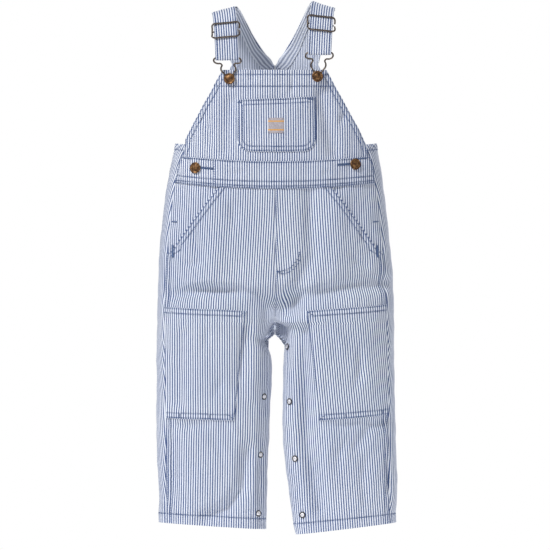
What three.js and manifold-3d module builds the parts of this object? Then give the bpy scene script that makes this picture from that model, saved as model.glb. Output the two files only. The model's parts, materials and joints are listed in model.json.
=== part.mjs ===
// Kids bib overalls in striped cotton twill, filled out as if worn, with the legs a little apart.
// Millimetres, +Z up, front towards -Y, wearer's left towards +X. Heights are measured up from the hem and the
// whole garment is then let down so that the origin lies between the two straps, where the shoulders carry it.
import * as THREE from "three";
import { mergeVertices } from "three/addons/utils/BufferGeometryUtils.js";
import Module from "manifold-3d";

const wasm = await Module();
wasm.setup();

// Cloth and seams
const CLOTH = 1.5; // wall of one layer of twill with its turnings
const GAP = 0.3; // clearance between pieces that are sewn together
const LIE = 0.9; // clearance of a layer that lies on a panel, wide enough for the facets of both
const LAYER = CLOTH + LIE; // one layer further in or out
const SQUARENESS = 2.3; // exponent of the rounded sections, 2 is an ellipse

// Heights of the seams above the hem
const HEM = { 1: 5.5, [-1]: 9 }; // middle of each leg's hem, wearer's left and right
const HEM_TILT = { 1: 16.5, [-1]: 10 }; // how far the outer end of the hem sits above the inner end
const HEM_TILT_FADE = 80;
const WAIST_SEAM = 449;
const BIB_SEAM = 482;
const BIB_TOP = 602;
const CROTCH_FRONT = 274;
const CROTCH_BACK = 256;
const FRONT_RISE_CURVE = 52; // height over which the centre front seam curves under
const BACK_RISE_CURVE = 104;
// Height in which the legs part below the crotch, and how the snapped front edges gape there
const CROTCH_OPENING = { front: { 1: 4, [-1]: 20 }, back: { 1: 12, [-1]: 4 } };
const CROTCH_SPREAD = { 1: { amount: 4.5, height: 262, reach: 17 }, [-1]: { amount: 6, height: 252, reach: 12 } };
const INSEAM_FORWARD = 10; // the snapped inseam lies in front of the leg's side line
const UNDERLAP = 0.042; // part of the leg's girth that the back's placket runs under the front's
const SHOULDER_HEIGHT = 681;
const BACK_SIDE_TOP = 500; // level edge of the back under the arms
const BACK_PLANE_TOP = 612; // above this height the back narrows into the two shoulder arms

const rows = (columns, table) =>
  table.map((row) => Object.fromEntries(columns.map((name, i) => [name, row[i]])));

// Sections of the body: height, half width and inner edge of each side, and depth before and behind the side line
const SECTIONS = rows(
  ["height", "outerLeft", "innerLeft", "outerRight", "innerRight", "front", "back"],
  [
    [-10, 158, 30, 151.5, 11.5, 27, 25],
    [17, 158, 25, 151.5, 11, 27, 25],
    [43, 159.5, 20.5, 151.5, 10.7, 28, 26],
    [69, 159.5, 17, 152.5, 10, 29, 27],
    [95, 158.5, 13.5, 153.5, 9.5, 30, 28],
    [121, 157.5, 10.5, 154.5, 8.5, 31, 29],
    [173, 156, 10, 154, 6, 34, 32],
    [225, 155, 10.8, 154, 4.2, 39, 40],
    [250, 155, 11, 154, 8, 42, 45],
    [274, 155, 8.5, 153.5, 7.5, 45, 50],
    [305, 155, 8, 153, 7, 49, 57],
    [340, 153.5, 8, 152, 7, 52, 61],
    [380, 149, 8, 149, 7, 53, 60],
    [420, 144.5, 8, 144, 7, 52, 56],
    [455, 139.5, 8, 138, 7, 51, 53],
    [482, 135.5, 8, 133.5, 7, 50, 51],
    [500, 132, 8, 129.5, 7, 49, 49],
    [520, 127, 8, 126, 7, 48, 47],
    [560, 115, 8, 115, 7, 46, 44],
    [612, 104, 8, 104, 7, 44, 42],
  ],
);

// How much higher a row lies at the sides than at the centre
const SIDE_LIFT = rows(
  ["height", "lift"],
  [
    [280, 0],
    [350, 2],
    [400, 6],
    [450, 9],
    [485, 8],
    [540, 3],
    [602, 0],
  ],
);

// The side seam, which lies a little forward of the sides: how far it is from the centre on each side
const SIDE_SEAM = rows(
  ["height", "left", "right"],
  [
    [0, 149, 142],
    [100, 148.5, 142],
    [196, 147.5, 142.5],
    [262, 146, 144],
    [330, 143.5, 143],
    [372, 140, 140],
    [419, 135, 134.5],
    [463, 127.5, 126.5],
    [492, 120.5, 119],
    [500, 118.5, 117],
  ],
);

// Half width of the bib, which narrows upwards along a slightly hollow side
const BIB_SIDE = rows(
  ["height", "half"],
  [
    [482, 121],
    [498, 118.5],
    [510, 114],
    [524, 107.5],
    [552, 93.5],
    [574, 81.5],
    [590, 73.5],
    [602, 67],
  ],
);

const BIB_EASE = 0.7; // it hangs this much towards the wearer's right

// Back above its level top edge at the side: the armhole's edge, as a part of the half girth, up to the arms
const ARMHOLE_EDGE = rows(
  ["height", "place"],
  [
    [500, 0.655],
    [512, 0.7],
    [524, 0.728],
    [545, 0.762],
    [570, 0.79],
    [595, 0.818],
    [612, 0.8366],
  ],
);

// Shoulder arms: along counts from the back up and over the shoulder, with the inner and outer edge and the strap's
// middle on the front
const SHOULDER_ARCH = { middle: -1, half: 43, foot: 612, length: 182 };
const SHOULDER_EDGES = rows(
  ["along", "inner", "outer"],
  [
    [-3, 0.4, 56.5],
    [0, 3, 57.5],
    [8, 12, 60.5],
    [16, 20.5, 63.5],
    [34, 31.5, 69],
    [49, 38, 73],
    [70, 43.5, 76.5],
    [91, 48, 79],
  ],
);
const STRAP_WIDTH = 30;
const STRAPS = {
  1: { top: 685.5, apexX: 63, footX: 57.5, foldHeight: 624, buttonX: 54.3, buttonHeight: 593, slider: 661, v: 0 },
  [-1]: { top: 679, apexX: 67, footX: 62, foldHeight: 617, buttonX: 58.5, buttonHeight: 590, slider: 652.5, v: 2 },
};
const SHOULDER_SLOPE = 0.28; // the straps lean out with the slope of the shoulders

// Soft folds: the surface sinks (or rises, above 0) by depth along a line of [x, height] points
const FRONT_FOLDS = [
  { line: [[-128, 311], [-90, 315], [-49, 314]], width: 9, depth: -3.2 },
  { line: [[20, 303], [71, 314], [145, 325]], width: 9, depth: -3.4 },
  { line: [[46, 442], [48, 361], [31, 322], [18, 289]], width: 10, depth: -3 },
  { line: [[36, 262], [40, 173], [39, 121], [52, 62], [58, 32]], width: 9, depth: -4 },
  { line: [[-91, 21], [-61, 33], [-42, 59], [-36, 108]], width: 9, depth: -3 },
  { line: [[142, 147], [123, 137], [106, 112]], width: 8, depth: -2.4 },
  { line: [[-120, 257], [-123, 173]], width: 10, depth: -2.2 },
  { line: [[-38, 264], [-48, 192]], width: 9, depth: -1.8 },
  { line: [[-25, 262], [-30, 178]], width: 9, depth: 1.4 },
  { line: [[61, 569], [69, 526], [76, 496]], width: 10, depth: -2.8 },
  { line: [[-58, 560], [-63, 500]], width: 9, depth: -2 },
  { line: [[82, 432], [78, 345]], width: 16, depth: 1.8 },
  { line: [[-76, 430], [-80, 345]], width: 16, depth: 1.8 },
];
const BACK_FOLDS = [
  { line: [[-24, 332], [-60, 316], [-96, 296]], width: 10, depth: -3.4 },
  { line: [[22, 338], [55, 322], [88, 303]], width: 10, depth: -3.4 },
  { line: [[-38, 302], [-112, 262]], width: 10, depth: -3 },
  { line: [[34, 306], [106, 270]], width: 10, depth: -3 },
  { line: [[-140, 202], [-80, 190], [-30, 198]], width: 10, depth: -3 },
  { line: [[140, 192], [82, 184], [36, 194]], width: 10, depth: -3 },
  { line: [[-122, 152], [-58, 138]], width: 9, depth: -2.6 },
  { line: [[126, 142], [68, 126]], width: 9, depth: -2.6 },
  { line: [[-20, 560], [-34, 502]], width: 10, depth: -2 },
  { line: [[24, 548], [32, 492]], width: 10, depth: -1.8 },
];

// Pockets, patches and label: [x, height] of the corners seen from the front
const BIB_POCKET = { left: -49, right: 53, top: 565, bottom: 495.5, corner: 17, skew: 4 };
const LABEL = { left: -9, right: 11.5, top: 539.5, bottom: 519.5 };
const KNEE_PATCH = {
  1: { topInner: 289, topOuter: 297, bottomInner: 147, bottomOuter: 153, innerTop: 41, innerBottom: 57 },
  [-1]: { topInner: 289, topOuter: 294, bottomInner: 147, bottomOuter: 149, innerTop: 37, innerBottom: 53 },
};
const HIP_POCKET = { topX: 72, bottomX: 129, bottomHeight: 372, facingFoot: 356, facingUnder: 0.05 };
const SIDE_PLACKET = { top: 486, bottom: 402, from: 0.28, past: 0.03 };

// Fastenings
const WIRE = 1.1; // radius of the bent wire
const BUTTON = { radius: 7.3, head: 2.6, shank: 2.4, shankLength: 2.9 };
const SIDE_BUTTON = { 1: { x: 103.5, height: 474.5 }, [-1]: { x: 102.5, height: 469.5 } };
const SIDE_BUTTON_SHANK = 1.2;
const SLIDER = { half: 17.6, reach: 10, corner: 3.2, opening: 2.4 };
const SNAP = { radius: 4.2, height: 1.3 };
const SNAPS = rows(
  ["name", "side", "inset", "height"],
  [
    ["snap_left_1", 1, 3, 243],
    ["snap_left_2", 1, 8.5, 172],
    ["snap_left_3", 1, 13, 99],
    ["snap_left_4", 1, 13, 28.5],
    ["snap_right_1", -1, 9, 178],
    ["snap_right_2", -1, 9, 103],
    ["snap_right_3", -1, 11, 28.5],
  ],
);

// Colours of the cloth and the metal
const TWILL = new THREE.MeshStandardMaterial({ color: 0xb4c0d2, roughness: 0.9, metalness: 0 });
const ANTIQUE_BRASS = new THREE.MeshStandardMaterial({ color: 0x6e5334, roughness: 0.45, metalness: 0.9 });
const DARK_WIRE = new THREE.MeshStandardMaterial({ color: 0x4a4238, roughness: 0.4, metalness: 0.9 });
const STEEL = new THREE.MeshStandardMaterial({ color: 0x9a96a0, roughness: 0.35, metalness: 0.9 });
const LABEL_TAPE = new THREE.MeshStandardMaterial({ color: 0xc9c3c8, roughness: 0.85, metalness: 0 });

const clamp01 = (v) => Math.min(1, Math.max(0, v));
const smooth = (v) => v * v * (3 - 2 * v);
const mix = (a, b, t) => a + (b - a) * t;
const power = (v) => Math.sign(v) * Math.abs(v) ** (2 / SQUARENESS);
const unpower = (v) => Math.sign(v) * Math.abs(v) ** (SQUARENESS / 2);

// A column of a table at any height, as one smooth curve through its rows
function look(table, key, column, at) {
  const last = table.length - 1;
  if (at <= table[0][key]) return table[0][column];
  if (at >= table[last][key]) return table[last][column];
  let i = 0;
  while (table[i + 1][key] < at) i += 1;
  const slope = (k) => {
    const a = table[Math.max(0, k - 1)];
    const b = table[Math.min(last, k + 1)];
    return (b[column] - a[column]) / (b[key] - a[key]);
  };
  const [p, q] = [table[i], table[i + 1]];
  const span = q[key] - p[key];
  const t = (at - p[key]) / span;
  const [t2, t3] = [t * t, t * t * t];
  return (
    (2 * t3 - 3 * t2 + 1) * p[column] +
    (t3 - 2 * t2 + t) * span * slope(i) +
    (3 * t2 - 2 * t3) * q[column] +
    (t3 - t2) * span * slope(i + 1)
  );
}

function foldDepth(folds, x, height) {
  let sum = 0;
  for (const { line, width, depth } of folds) {
    let nearest = Infinity;
    for (let i = 0; i + 1 < line.length; i += 1) {
      const [ax, az] = line[i];
      const [bx, bz] = line[i + 1];
      const [dx, dz] = [bx - ax, bz - az];
      const t = clamp01(((x - ax) * dx + (height - az) * dz) / (dx * dx + dz * dz));
      nearest = Math.min(nearest, Math.hypot(x - ax - t * dx, height - az - t * dz));
    }
    sum += depth * Math.exp(-((nearest / width) ** 2));
  }
  return sum;
}

// A point of the smooth body. side is 1 for the wearer's left half and -1 for the right. place runs from 0 at the
// centre front or inseam, past 0.5 at the side, to 1 at the centre back, and a little beyond under the placket.
function bodyPoint(side, place, height) {
  const name = side > 0 ? "Left" : "Right";
  const outer = look(SECTIONS, "height", "outer" + name, height);
  const isFront = place <= 0.5;
  const crotch = isFront ? CROTCH_FRONT : CROTCH_BACK;
  const curve = isFront ? FRONT_RISE_CURVE : BACK_RISE_CURVE;
  const legShare = smooth(clamp01((crotch + curve - height) / curve));
  const opening = CROTCH_OPENING[isFront ? "front" : "back"][side];
  const parted = Math.sqrt(clamp01((crotch - height) / opening));
  const gape = CROTCH_SPREAD[side];
  const spread = isFront ? gape.amount * Math.exp(-(((height - gape.height) / gape.reach) ** 2)) : 0;
  const inner = (look(SECTIONS, "height", "inner" + name, height) + spread) * parted;
  const front = look(SECTIONS, "height", "front", height);
  const back = look(SECTIONS, "height", "back", height);

  const half = Math.PI * Math.min(place, 1);
  const hipX = outer * power(Math.sin(half));
  const hipY = -power(Math.cos(half)) * (Math.cos(half) > 0 ? front : back);

  const turn = 2 * Math.PI * place;
  const legX = (outer + inner) / 2 - ((outer - inner) / 2) * power(Math.cos(turn));
  const legDepth = Math.sin(turn) > 0 ? front : back;
  const legY = -power(Math.sin(turn)) * legDepth - (INSEAM_FORWARD * (1 + Math.cos(turn))) / 2;

  const x = mix(hipX, legX, legShare);
  const y = mix(hipY, legY, legShare);
  const lift = look(SIDE_LIFT, "height", "lift", height) * (x / outer) ** 2;
  const across = (x - (outer + inner) / 2) / (outer - inner);
  const tilt = HEM_TILT[side] * Math.exp(-Math.max(0, height) / HEM_TILT_FADE) * across;
  return new THREE.Vector3(side * x, y, height + lift + tilt);
}

// A point of the shoulder arm or strap, x from the centre and along from the top of the back over the shoulder
function shoulderPoint(side, x, along) {
  const strap = STRAPS[side];
  const angle = (Math.PI * along) / SHOULDER_ARCH.length;
  const rise = strap.top - SHOULDER_ARCH.foot;
  const middle = mix(strap.apexX, strap.footX, clamp01((along - 91) / 91));
  const outer = SECTIONS[SECTIONS.length - 1].outerLeft;
  const roundness = 1 - (1 - Math.min(1, x / outer) ** SQUARENESS) ** (1 / SQUARENESS);
  const depth = SHOULDER_ARCH.half * power(Math.cos(angle));
  const flatten = Math.cos(angle) > 0 ? Math.cos(angle) * roundness * SHOULDER_ARCH.half : 0;
  const y = SHOULDER_ARCH.middle + depth - flatten;
  const slope = SHOULDER_SLOPE * (x - middle) * Math.sin(angle) ** 2;
  return new THREE.Vector3(side * x, y, SHOULDER_ARCH.foot + rise * power(Math.sin(angle)) - slope);
}

// The V neck's edge; v moves it out a little on the side whose strap sits wider
function neckEdge(side, along) {
  const fade = smooth(clamp01((along + 3) / 20));
  return look(SHOULDER_EDGES, "along", "inner", along) + STRAPS[side].v * fade;
}

const placeOfX = (x, outer) => 1 - Math.asin(unpower(x / outer)) / Math.PI;
const topOuter = SECTIONS[SECTIONS.length - 1].outerLeft;

// The whole garment as one surface: height up to the shoulder arms, and on along the shoulder above them
function garmentPoint(side, place, height) {
  if (height <= BACK_PLANE_TOP || place <= 0.5) return bodyPoint(side, place, height);
  const x = topOuter * power(Math.sin(Math.PI * Math.min(place, 1)));
  return shoulderPoint(side, x, height - BACK_PLANE_TOP);
}

const STEP_PLACE = 0.004;
const STEP_HEIGHT = 2;

// The outward normal, from the surface on both sides of the point
function normalOf(point, side, place, height) {
  const across = point(side, place + STEP_PLACE, height).sub(point(side, place - STEP_PLACE, height));
  const up = point(side, place, height + STEP_HEIGHT).sub(point(side, place, height - STEP_HEIGHT));
  return across.cross(up).normalize().multiplyScalar(side);
}

// A surface point moved out by offset, with the folds of its panel
function surface(side, place, height, offset = 0) {
  const p = garmentPoint(side, place, height);
  const n = normalOf(garmentPoint, side, place, height);
  const frontShare = smooth(clamp01((0.53 - place) / 0.06));
  const fold =
    frontShare * foldDepth(FRONT_FOLDS, p.x, p.z) + (1 - frontShare) * foldDepth(BACK_FOLDS, p.x, p.z);
  const isWrapped = place > 1 ? 0 : 1;
  return { p: p.addScaledVector(n, fold * isWrapped), n, offset };
}

// The place on the front at which the surface has a given x
function frontPlaceOf(side, x, height) {
  let [low, high] = [0, 0.5];
  for (let i = 0; i < 40; i += 1) {
    const middle = (low + high) / 2;
    if (bodyPoint(side, middle, height).x * side < x) low = middle;
    else high = middle;
  }
  return (low + high) / 2;
}

// A point of the front given by signed x and height
function frontSurface(x, height) {
  const side = x < 0 ? -1 : 1;
  return surface(side, frontPlaceOf(side, Math.abs(x), height), height);
}

// A closed wall between two offsets of a grid of surface points. at(u, v) gives the point, its normal and an
// offset of its own, and hasCell(i, j) says which cells of the grid are cloth.
function wall(columns, rowCount, at, outside, inside, keepSide = 0, hasCell = () => true) {
  const position = [];
  const index = [];
  const wide = columns + 1;
  const layer = wide * (rowCount + 1);
  for (const move of [outside, inside]) {
    for (let j = 0; j <= rowCount; j += 1) {
      for (let i = 0; i <= columns; i += 1) {
        const { p, n, offset } = at(i / columns, j / rowCount);
        const q = p.clone().addScaledVector(n, move + (offset ?? 0));
        if (keepSide && q.x * keepSide < GAP / 2) q.x = (keepSide * GAP) / 2;
        position.push(q.x, q.y, q.z);
      }
    }
  }
  const quad = (a, b, c, d) => index.push(a, b, c, a, c, d);
  const id = (i, j, k) => k * layer + j * wide + i;
  const isCloth = (i, j) => i >= 0 && j >= 0 && i < columns && j < rowCount && hasCell(i, j);
  for (let j = 0; j < rowCount; j += 1) {
    for (let i = 0; i < columns; i += 1) {
      if (!isCloth(i, j)) continue;
      quad(id(i, j, 0), id(i + 1, j, 0), id(i + 1, j + 1, 0), id(i, j + 1, 0));
      quad(id(i, j, 1), id(i, j + 1, 1), id(i + 1, j + 1, 1), id(i + 1, j, 1));
      if (!isCloth(i, j - 1)) quad(id(i, j, 0), id(i, j, 1), id(i + 1, j, 1), id(i + 1, j, 0));
      if (!isCloth(i, j + 1)) quad(id(i, j + 1, 0), id(i + 1, j + 1, 0), id(i + 1, j + 1, 1), id(i, j + 1, 1));
      if (!isCloth(i - 1, j)) quad(id(i, j, 0), id(i, j + 1, 0), id(i, j + 1, 1), id(i, j, 1));
      if (!isCloth(i + 1, j)) quad(id(i + 1, j, 0), id(i + 1, j, 1), id(i + 1, j + 1, 1), id(i + 1, j + 1, 0));
    }
  }
  return facingOut(position, index);
}

// Turns the faces round if they point inwards
function facingOut(position, index) {
  let volume = 0;
  const corner = (k) => new THREE.Vector3(...position.slice(3 * index[k], 3 * index[k] + 3));
  for (let k = 0; k < index.length; k += 3) {
    volume += corner(k).dot(corner(k + 1).cross(corner(k + 2)));
  }
  if (volume < 0) {
    for (let k = 0; k < index.length; k += 3) [index[k + 1], index[k + 2]] = [index[k + 2], index[k + 1]];
  }
  const geometry = new THREE.BufferGeometry();
  geometry.setAttribute("position", new THREE.Float32BufferAttribute(position, 3));
  geometry.setIndex(index);
  return geometry;
}

const garment = new THREE.Group();
const sideName = { 1: "left", [-1]: "right" };

function add(name, geometry, material) {
  geometry.computeVertexNormals();
  const mesh = new THREE.Mesh(geometry, material);
  mesh.name = name;
  garment.add(mesh);
  return mesh;
}

function sideSeam(side, height) {
  return frontPlaceOf(side, look(SIDE_SEAM, "height", side > 0 ? "left" : "right", height), height);
}
const SEAM_PLACE = 0.001; // half a seam gap, as a part of the half girth

// Height of the hip pocket's slanting mouth at a given x, and the place where it cuts a row
function pocketMouthPlace(side, height) {
  const t = (WAIST_SEAM - height) / (WAIST_SEAM - HIP_POCKET.bottomHeight);
  const x = mix(HIP_POCKET.topX, HIP_POCKET.bottomX, t);
  return frontPlaceOf(side, x, height);
}

// Uneven rows: short ones where the surface turns quickly under the crotch
function rowHeights(top, bottom, count) {
  const heights = [];
  const weight = (height) => 1 + 1.1 * Math.exp(-(((height - 272) / 45) ** 2));
  const samples = 400;
  let total = 0;
  const sums = [0];
  for (let k = 0; k < samples; k += 1) {
    total += weight(mix(top, bottom, (k + 0.5) / samples));
    sums.push(total);
  }
  for (let j = 0; j <= count; j += 1) {
    const goal = (total * j) / count;
    let k = 0;
    while (k < samples && sums[k + 1] < goal) k += 1;
    const part = k < samples ? (goal - sums[k]) / (sums[k + 1] - sums[k]) : 0;
    heights.push(mix(top, bottom, (k + part) / samples));
  }
  return heights;
}

// Front leg: from the waist seam down to the hem, and from the centre front and inseam to the side seam,
// with the corner for the hip pocket cut away
function frontLeg(side) {
  const count = 30;
  const heights = rowHeights(WAIST_SEAM - GAP / 2, HEM[side], count);
  const at = (u, v) => {
    const height = heights[Math.round(v * count)];
    const seam = sideSeam(side, height) - SEAM_PLACE;
    const inMouth = height > HIP_POCKET.bottomHeight;
    const mouth = inMouth ? Math.min(seam, pocketMouthPlace(side, height)) : seam;
    return surface(side, mix(SEAM_PLACE, mouth, u), height);
  };
  add("front_leg_" + sideName[side], wall(12, count, at, 0, -CLOTH, side), TWILL);
}

// Back: one piece from the hem to the shoulder, from the side seam to the inseam and centre back. Below the crotch
// its edge runs on as the placket under the front's edge.
function backPlacket(place, height) {
  const share = smooth(clamp01((place - 0.945) / 0.045));
  const low = smooth(clamp01((CROTCH_BACK - 4 - height) / 20));
  return -LAYER * share * low;
}
const BACK_TOP_ALONG = 88;
const BACK_COLUMNS = 13;
const BACK_ROWS = 28; // below the level edge

function backEdges(side, height) {
  if (height > BACK_PLANE_TOP) {
    const along = height - BACK_PLANE_TOP;
    return [
      placeOfX(look(SHOULDER_EDGES, "along", "outer", along), topOuter),
      placeOfX(neckEdge(side, along), topOuter),
    ];
  }
  const outer = sideSeam(side, height) + SEAM_PLACE;
  const legShare = smooth(clamp01((CROTCH_BACK - 26 - height) / 22));
  return [outer, 1 - SEAM_PLACE + (UNDERLAP + SEAM_PLACE) * legShare];
}

function back(side) {
  const columns = BACK_COLUMNS;
  const underArm = 6; // columns that end at the level edge under the arm
  const sideRows = BACK_ROWS;
  const legRows = rowHeights(BACK_SIDE_TOP, HEM[side], sideRows).reverse();
  const armholeRows = [508, 518, 531, 545, 559, 574, 594, 609];
  const shoulderRows = [8, 20, 34, 49, 64, 77, BACK_TOP_ALONG].map((along) => BACK_PLANE_TOP + along);
  const heights = [...legRows, ...armholeRows, ...shoulderRows];
  const count = heights.length - 1;
  const at = (u, v) => {
    const row = Math.round(v * count);
    const column = Math.round(u * columns);
    const height = heights[row];
    const [outer, inner] = backEdges(side, height);
    if (row <= sideRows) {
      const place = mix(outer, inner, u);
      return surface(side, place, height, backPlacket(place, height));
    }
    const edge = height > BACK_PLANE_TOP ? outer : look(ARMHOLE_EDGE, "height", "place", height);
    return surface(side, mix(edge, inner, Math.max(0, column - underArm) / (columns - underArm)), height);
  };
  const hasCell = (i, j) => j < sideRows || i >= underArm;
  add("back_" + sideName[side], wall(columns, count, at, 0, -CLOTH, side, hasCell), TWILL);
}

// The bib's side edge, which meets the side seam at the waist
function bibEdge(side, height) {
  const seam = bodyPoint(side, sideSeam(side, height) - 2 * SEAM_PLACE, height).x * side;
  return Math.min(look(BIB_SIDE, "height", "half", height) + BIB_EASE - side * BIB_EASE, seam);
}

// Bib, with its sides cut to the hollow curve
function bib() {
  const at = (u, v) => {
    const height = mix(BIB_SEAM + GAP / 2, BIB_TOP, v);
    return frontSurface(mix(-bibEdge(-1, height), bibEdge(1, height), u), height);
  };
  add("bib", wall(14, 9, at, 0, -CLOTH), TWILL);
}

// Waistband of the front: a double strip between the bib and the legs
function waistband() {
  const at = (u, v) => {
    const height = mix(WAIST_SEAM + GAP / 2, BIB_SEAM - GAP / 2, v);
    const side = u < 0.5 ? -1 : 1;
    return surface(side, Math.abs(2 * u - 1) * (sideSeam(side, height) - SEAM_PLACE), height);
  };
  add("waistband", wall(24, 2, at, 0.7, -CLOTH), TWILL);
}

// Hip pocket facing: seen above the slanting mouth, and running under the front leg below it
function hipFacing(side) {
  const at = (u, v) => {
    const height = mix(WAIST_SEAM - GAP / 2, HIP_POCKET.facingFoot, v);
    const seam = sideSeam(side, height) - SEAM_PLACE;
    const mouth = pocketMouthPlace(side, Math.max(height, HIP_POCKET.bottomHeight));
    return surface(side, mix(Math.min(mouth, seam) - HIP_POCKET.facingUnder, seam, u), height);
  };
  add("hip_pocket_facing_" + sideName[side], wall(5, 9, at, -LAYER - 0.4, -LAYER - 0.4 - CLOTH), TWILL);
}

// Side placket: the back's extension under the front's side opening, which carries the side button
function sidePlacket(side) {
  const at = (u, v) => {
    const height = mix(SIDE_PLACKET.top, SIDE_PLACKET.bottom, v);
    return surface(side, mix(SIDE_PLACKET.from, sideSeam(side, height) + SIDE_PLACKET.past, u), height);
  };
  const inward = 2 * LAYER + 0.7;
  add("side_placket_" + sideName[side], wall(4, 4, at, -inward, -inward - CLOTH), TWILL);
}

// Bib pocket, with round lower corners and a slightly skewed mouth
function bibPocket() {
  const { left, right, top, bottom, corner, skew } = BIB_POCKET;
  const middle = (left + right) / 2;
  const at = (u, v) => {
    const fall = Math.max(0, (v - 1) * (top - bottom) + corner);
    const inset = corner - Math.sqrt(Math.max(0, corner * corner - fall * fall * 0.96));
    const x = mix(left + inset, right - inset, u);
    const height = mix(top, bottom, v) + (skew * (1 - v) * (x - middle)) / (right - left);
    return frontSurface(x, height);
  };
  add("bib_pocket", wall(8, 8, at, LAYER, LIE), TWILL);
}

function label() {
  const at = (u, v) => frontSurface(mix(LABEL.left, LABEL.right, u), mix(LABEL.top, LABEL.bottom, v));
  const under = LAYER + 0.6;
  add("label", wall(2, 2, at, under + 1, under), LABEL_TAPE);
}

// Knee patch, from the side seam to its inner edge on the front of the leg
function kneePatch(side) {
  const patch = KNEE_PATCH[side];
  const at = (u, v) => {
    const height = mix(mix(patch.topInner, patch.topOuter, u), mix(patch.bottomInner, patch.bottomOuter, u), v);
    const inner = frontPlaceOf(side, mix(patch.innerTop, patch.innerBottom, v), height);
    return surface(side, mix(inner, sideSeam(side, height) - 0.004, u), height);
  };
  add("knee_patch_" + sideName[side], wall(9, 10, at, LAYER, LIE), TWILL);
}

// Facing of the snapped inseam where it shows under the crotch, inside the back's edge
function crotchFacing(side) {
  const rowsHere = rowHeights(BACK_SIDE_TOP, HEM[side], BACK_ROWS).filter((height) => height > 214 && height < 292);
  const count = rowsHere.length - 1;
  const at = (u, v) => {
    const height = rowsHere[Math.round(v * count)];
    const [outer, inner] = backEdges(side, height);
    const place = mix(outer, inner - SEAM_PLACE, mix(1 - 1 / BACK_COLUMNS, 1, u));
    return surface(side, place, height, backPlacket(place, height));
  };
  add("crotch_facing_" + sideName[side], wall(2, count, at, -LAYER - 0.2, -LAYER - 0.2 - CLOTH * 0.7, side), TWILL);
}

// Neck facing: a narrow strip along the V of the back, inside
const NECK_FACING = { width: 11, rows: [-3, 3, 8, 20, 34, 49, 64, 77, 86] };
function neckFacing(side) {
  const at = (u, v) => {
    const along = NECK_FACING.rows[Math.round(v * (NECK_FACING.rows.length - 1))];
    const inner = neckEdge(side, along);
    const drop = u * 9 * (1 - smooth(clamp01((along + 3) / 50)));
    return surface(side, placeOfX(inner + NECK_FACING.width * u, topOuter), BACK_PLANE_TOP + along - drop);
  };
  add("neck_facing_" + sideName[side], wall(2, NECK_FACING.rows.length - 1, at, -LAYER, -LAYER - CLOTH * 0.7, side), TWILL);
}

// Strap: sewn along the V of the back, over the shoulder, through the slider and round the hook's bar, and back up
// behind itself to the slider
const STRAP_BACK = rows(
  ["innerX", "innerAlong", "outerX", "outerAlong"],
  [
    [0.5, -3, 0.5, -43],
    [5, 3, 13, -30],
    [11, 8, 25, -18],
    [21, 20, 46, 4],
    [26, 27, 54, 17],
    [30, 34, 59.5, 27],
    [37, 49, 66.5, 46],
    [42, 64, 71, 63],
    [45.5, 77, 75, 77],
    [48, 91, 78, 91],
  ],
);
const FOLD_RADIUS = WIRE + GAP + CLOTH / 2;

function strapFrame(side) {
  const strap = STRAPS[side];
  const foldAlong = alongOfHeight(side, strap.foldHeight);
  return { strap, foldAlong };
}

// How far along the front of the shoulder arch a height is reached
function alongOfHeight(side, height) {
  const rise = STRAPS[side].top - SHOULDER_ARCH.foot;
  const angle = Math.PI - Math.asin(unpower((height - SHOULDER_ARCH.foot) / rise));
  return (SHOULDER_ARCH.length * angle) / Math.PI;
}

// A point of the strap's middle line on the front, with its frame
function strapFront(side, along, x) {
  const t = clamp01((along - 91) / (SHOULDER_ARCH.length - 91));
  const middle = mix(STRAPS[side].apexX, STRAPS[side].footX, t);
  const p = shoulderPoint(side, middle + x, along);
  const before = shoulderPoint(side, middle + x, along - 1);
  const after = shoulderPoint(side, middle + x, along + 1);
  const down = after.clone().sub(before).normalize();
  const acrossFrom = shoulderPoint(side, middle + x - 1, along);
  const across = shoulderPoint(side, middle + x + 1, along).sub(acrossFrom).normalize();
  const out = across.clone().cross(down).multiplyScalar(side).normalize();
  if (out.y > 0 && along > 120) out.negate();
  if (out.z < 0 && along <= 120) out.negate();
  return { p, down, across, out };
}

const STRAP_LIFT = LIE + CLOTH / 2; // the strap's middle above the arm

function strap(side) {
  const { strap: sizes, foldAlong } = strapFrame(side);
  const stations = [];
  for (const row of STRAP_BACK.slice(0, -1)) {
    stations.push((x) => {
      const u = (x + 1) / 2;
      const shift = STRAPS[side].v * smooth(clamp01((row.innerAlong + 3) / 20));
      const inner = placeOfX(row.innerX + shift, topOuter);
      const outer = placeOfX(row.outerX + shift, topOuter);
      const s = surface(side, mix(inner, outer, u), BACK_PLANE_TOP + mix(row.innerAlong, row.outerAlong, u));
      return { p: s.p.addScaledVector(s.n, STRAP_LIFT), n: s.n };
    });
  }
  const front = (along, shift, turned) => (x) => {
    const f = strapFront(side, along, (x * STRAP_WIDTH) / 2);
    const p = f.p.addScaledVector(f.out, STRAP_LIFT + shift);
    return { p, n: turned ? f.out.clone().negate() : f.out };
  };
  const steps = 9;
  for (let k = 0; k <= steps; k += 1) stations.push(front(mix(91, foldAlong, k / steps), 0, false));
  const turns = 5;
  for (let k = 1; k <= turns; k += 1) {
    const angle = (Math.PI * k) / turns;
    stations.push((x) => {
      const f = strapFront(side, foldAlong, (x * STRAP_WIDTH) / 2);
      const centre = f.p.clone().addScaledVector(f.out, STRAP_LIFT - FOLD_RADIUS);
      const n = f.out.clone().multiplyScalar(Math.cos(angle)).addScaledVector(f.down, Math.sin(angle));
      return { p: centre.addScaledVector(n, FOLD_RADIUS), n };
    });
  }
  const topOfReturn = alongOfHeight(side, sizes.slider - 1);
  for (let k = 1; k <= 4; k += 1) {
    stations.push(front(mix(foldAlong, topOfReturn, k / 4), -2 * FOLD_RADIUS, true));
  }
  const at = (u, v) => stations[Math.round(v * (stations.length - 1))](2 * u - 1);
  add("strap_" + sideName[side], wall(4, stations.length - 1, at, CLOTH / 2, -CLOTH / 2), TWILL);
}

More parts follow.
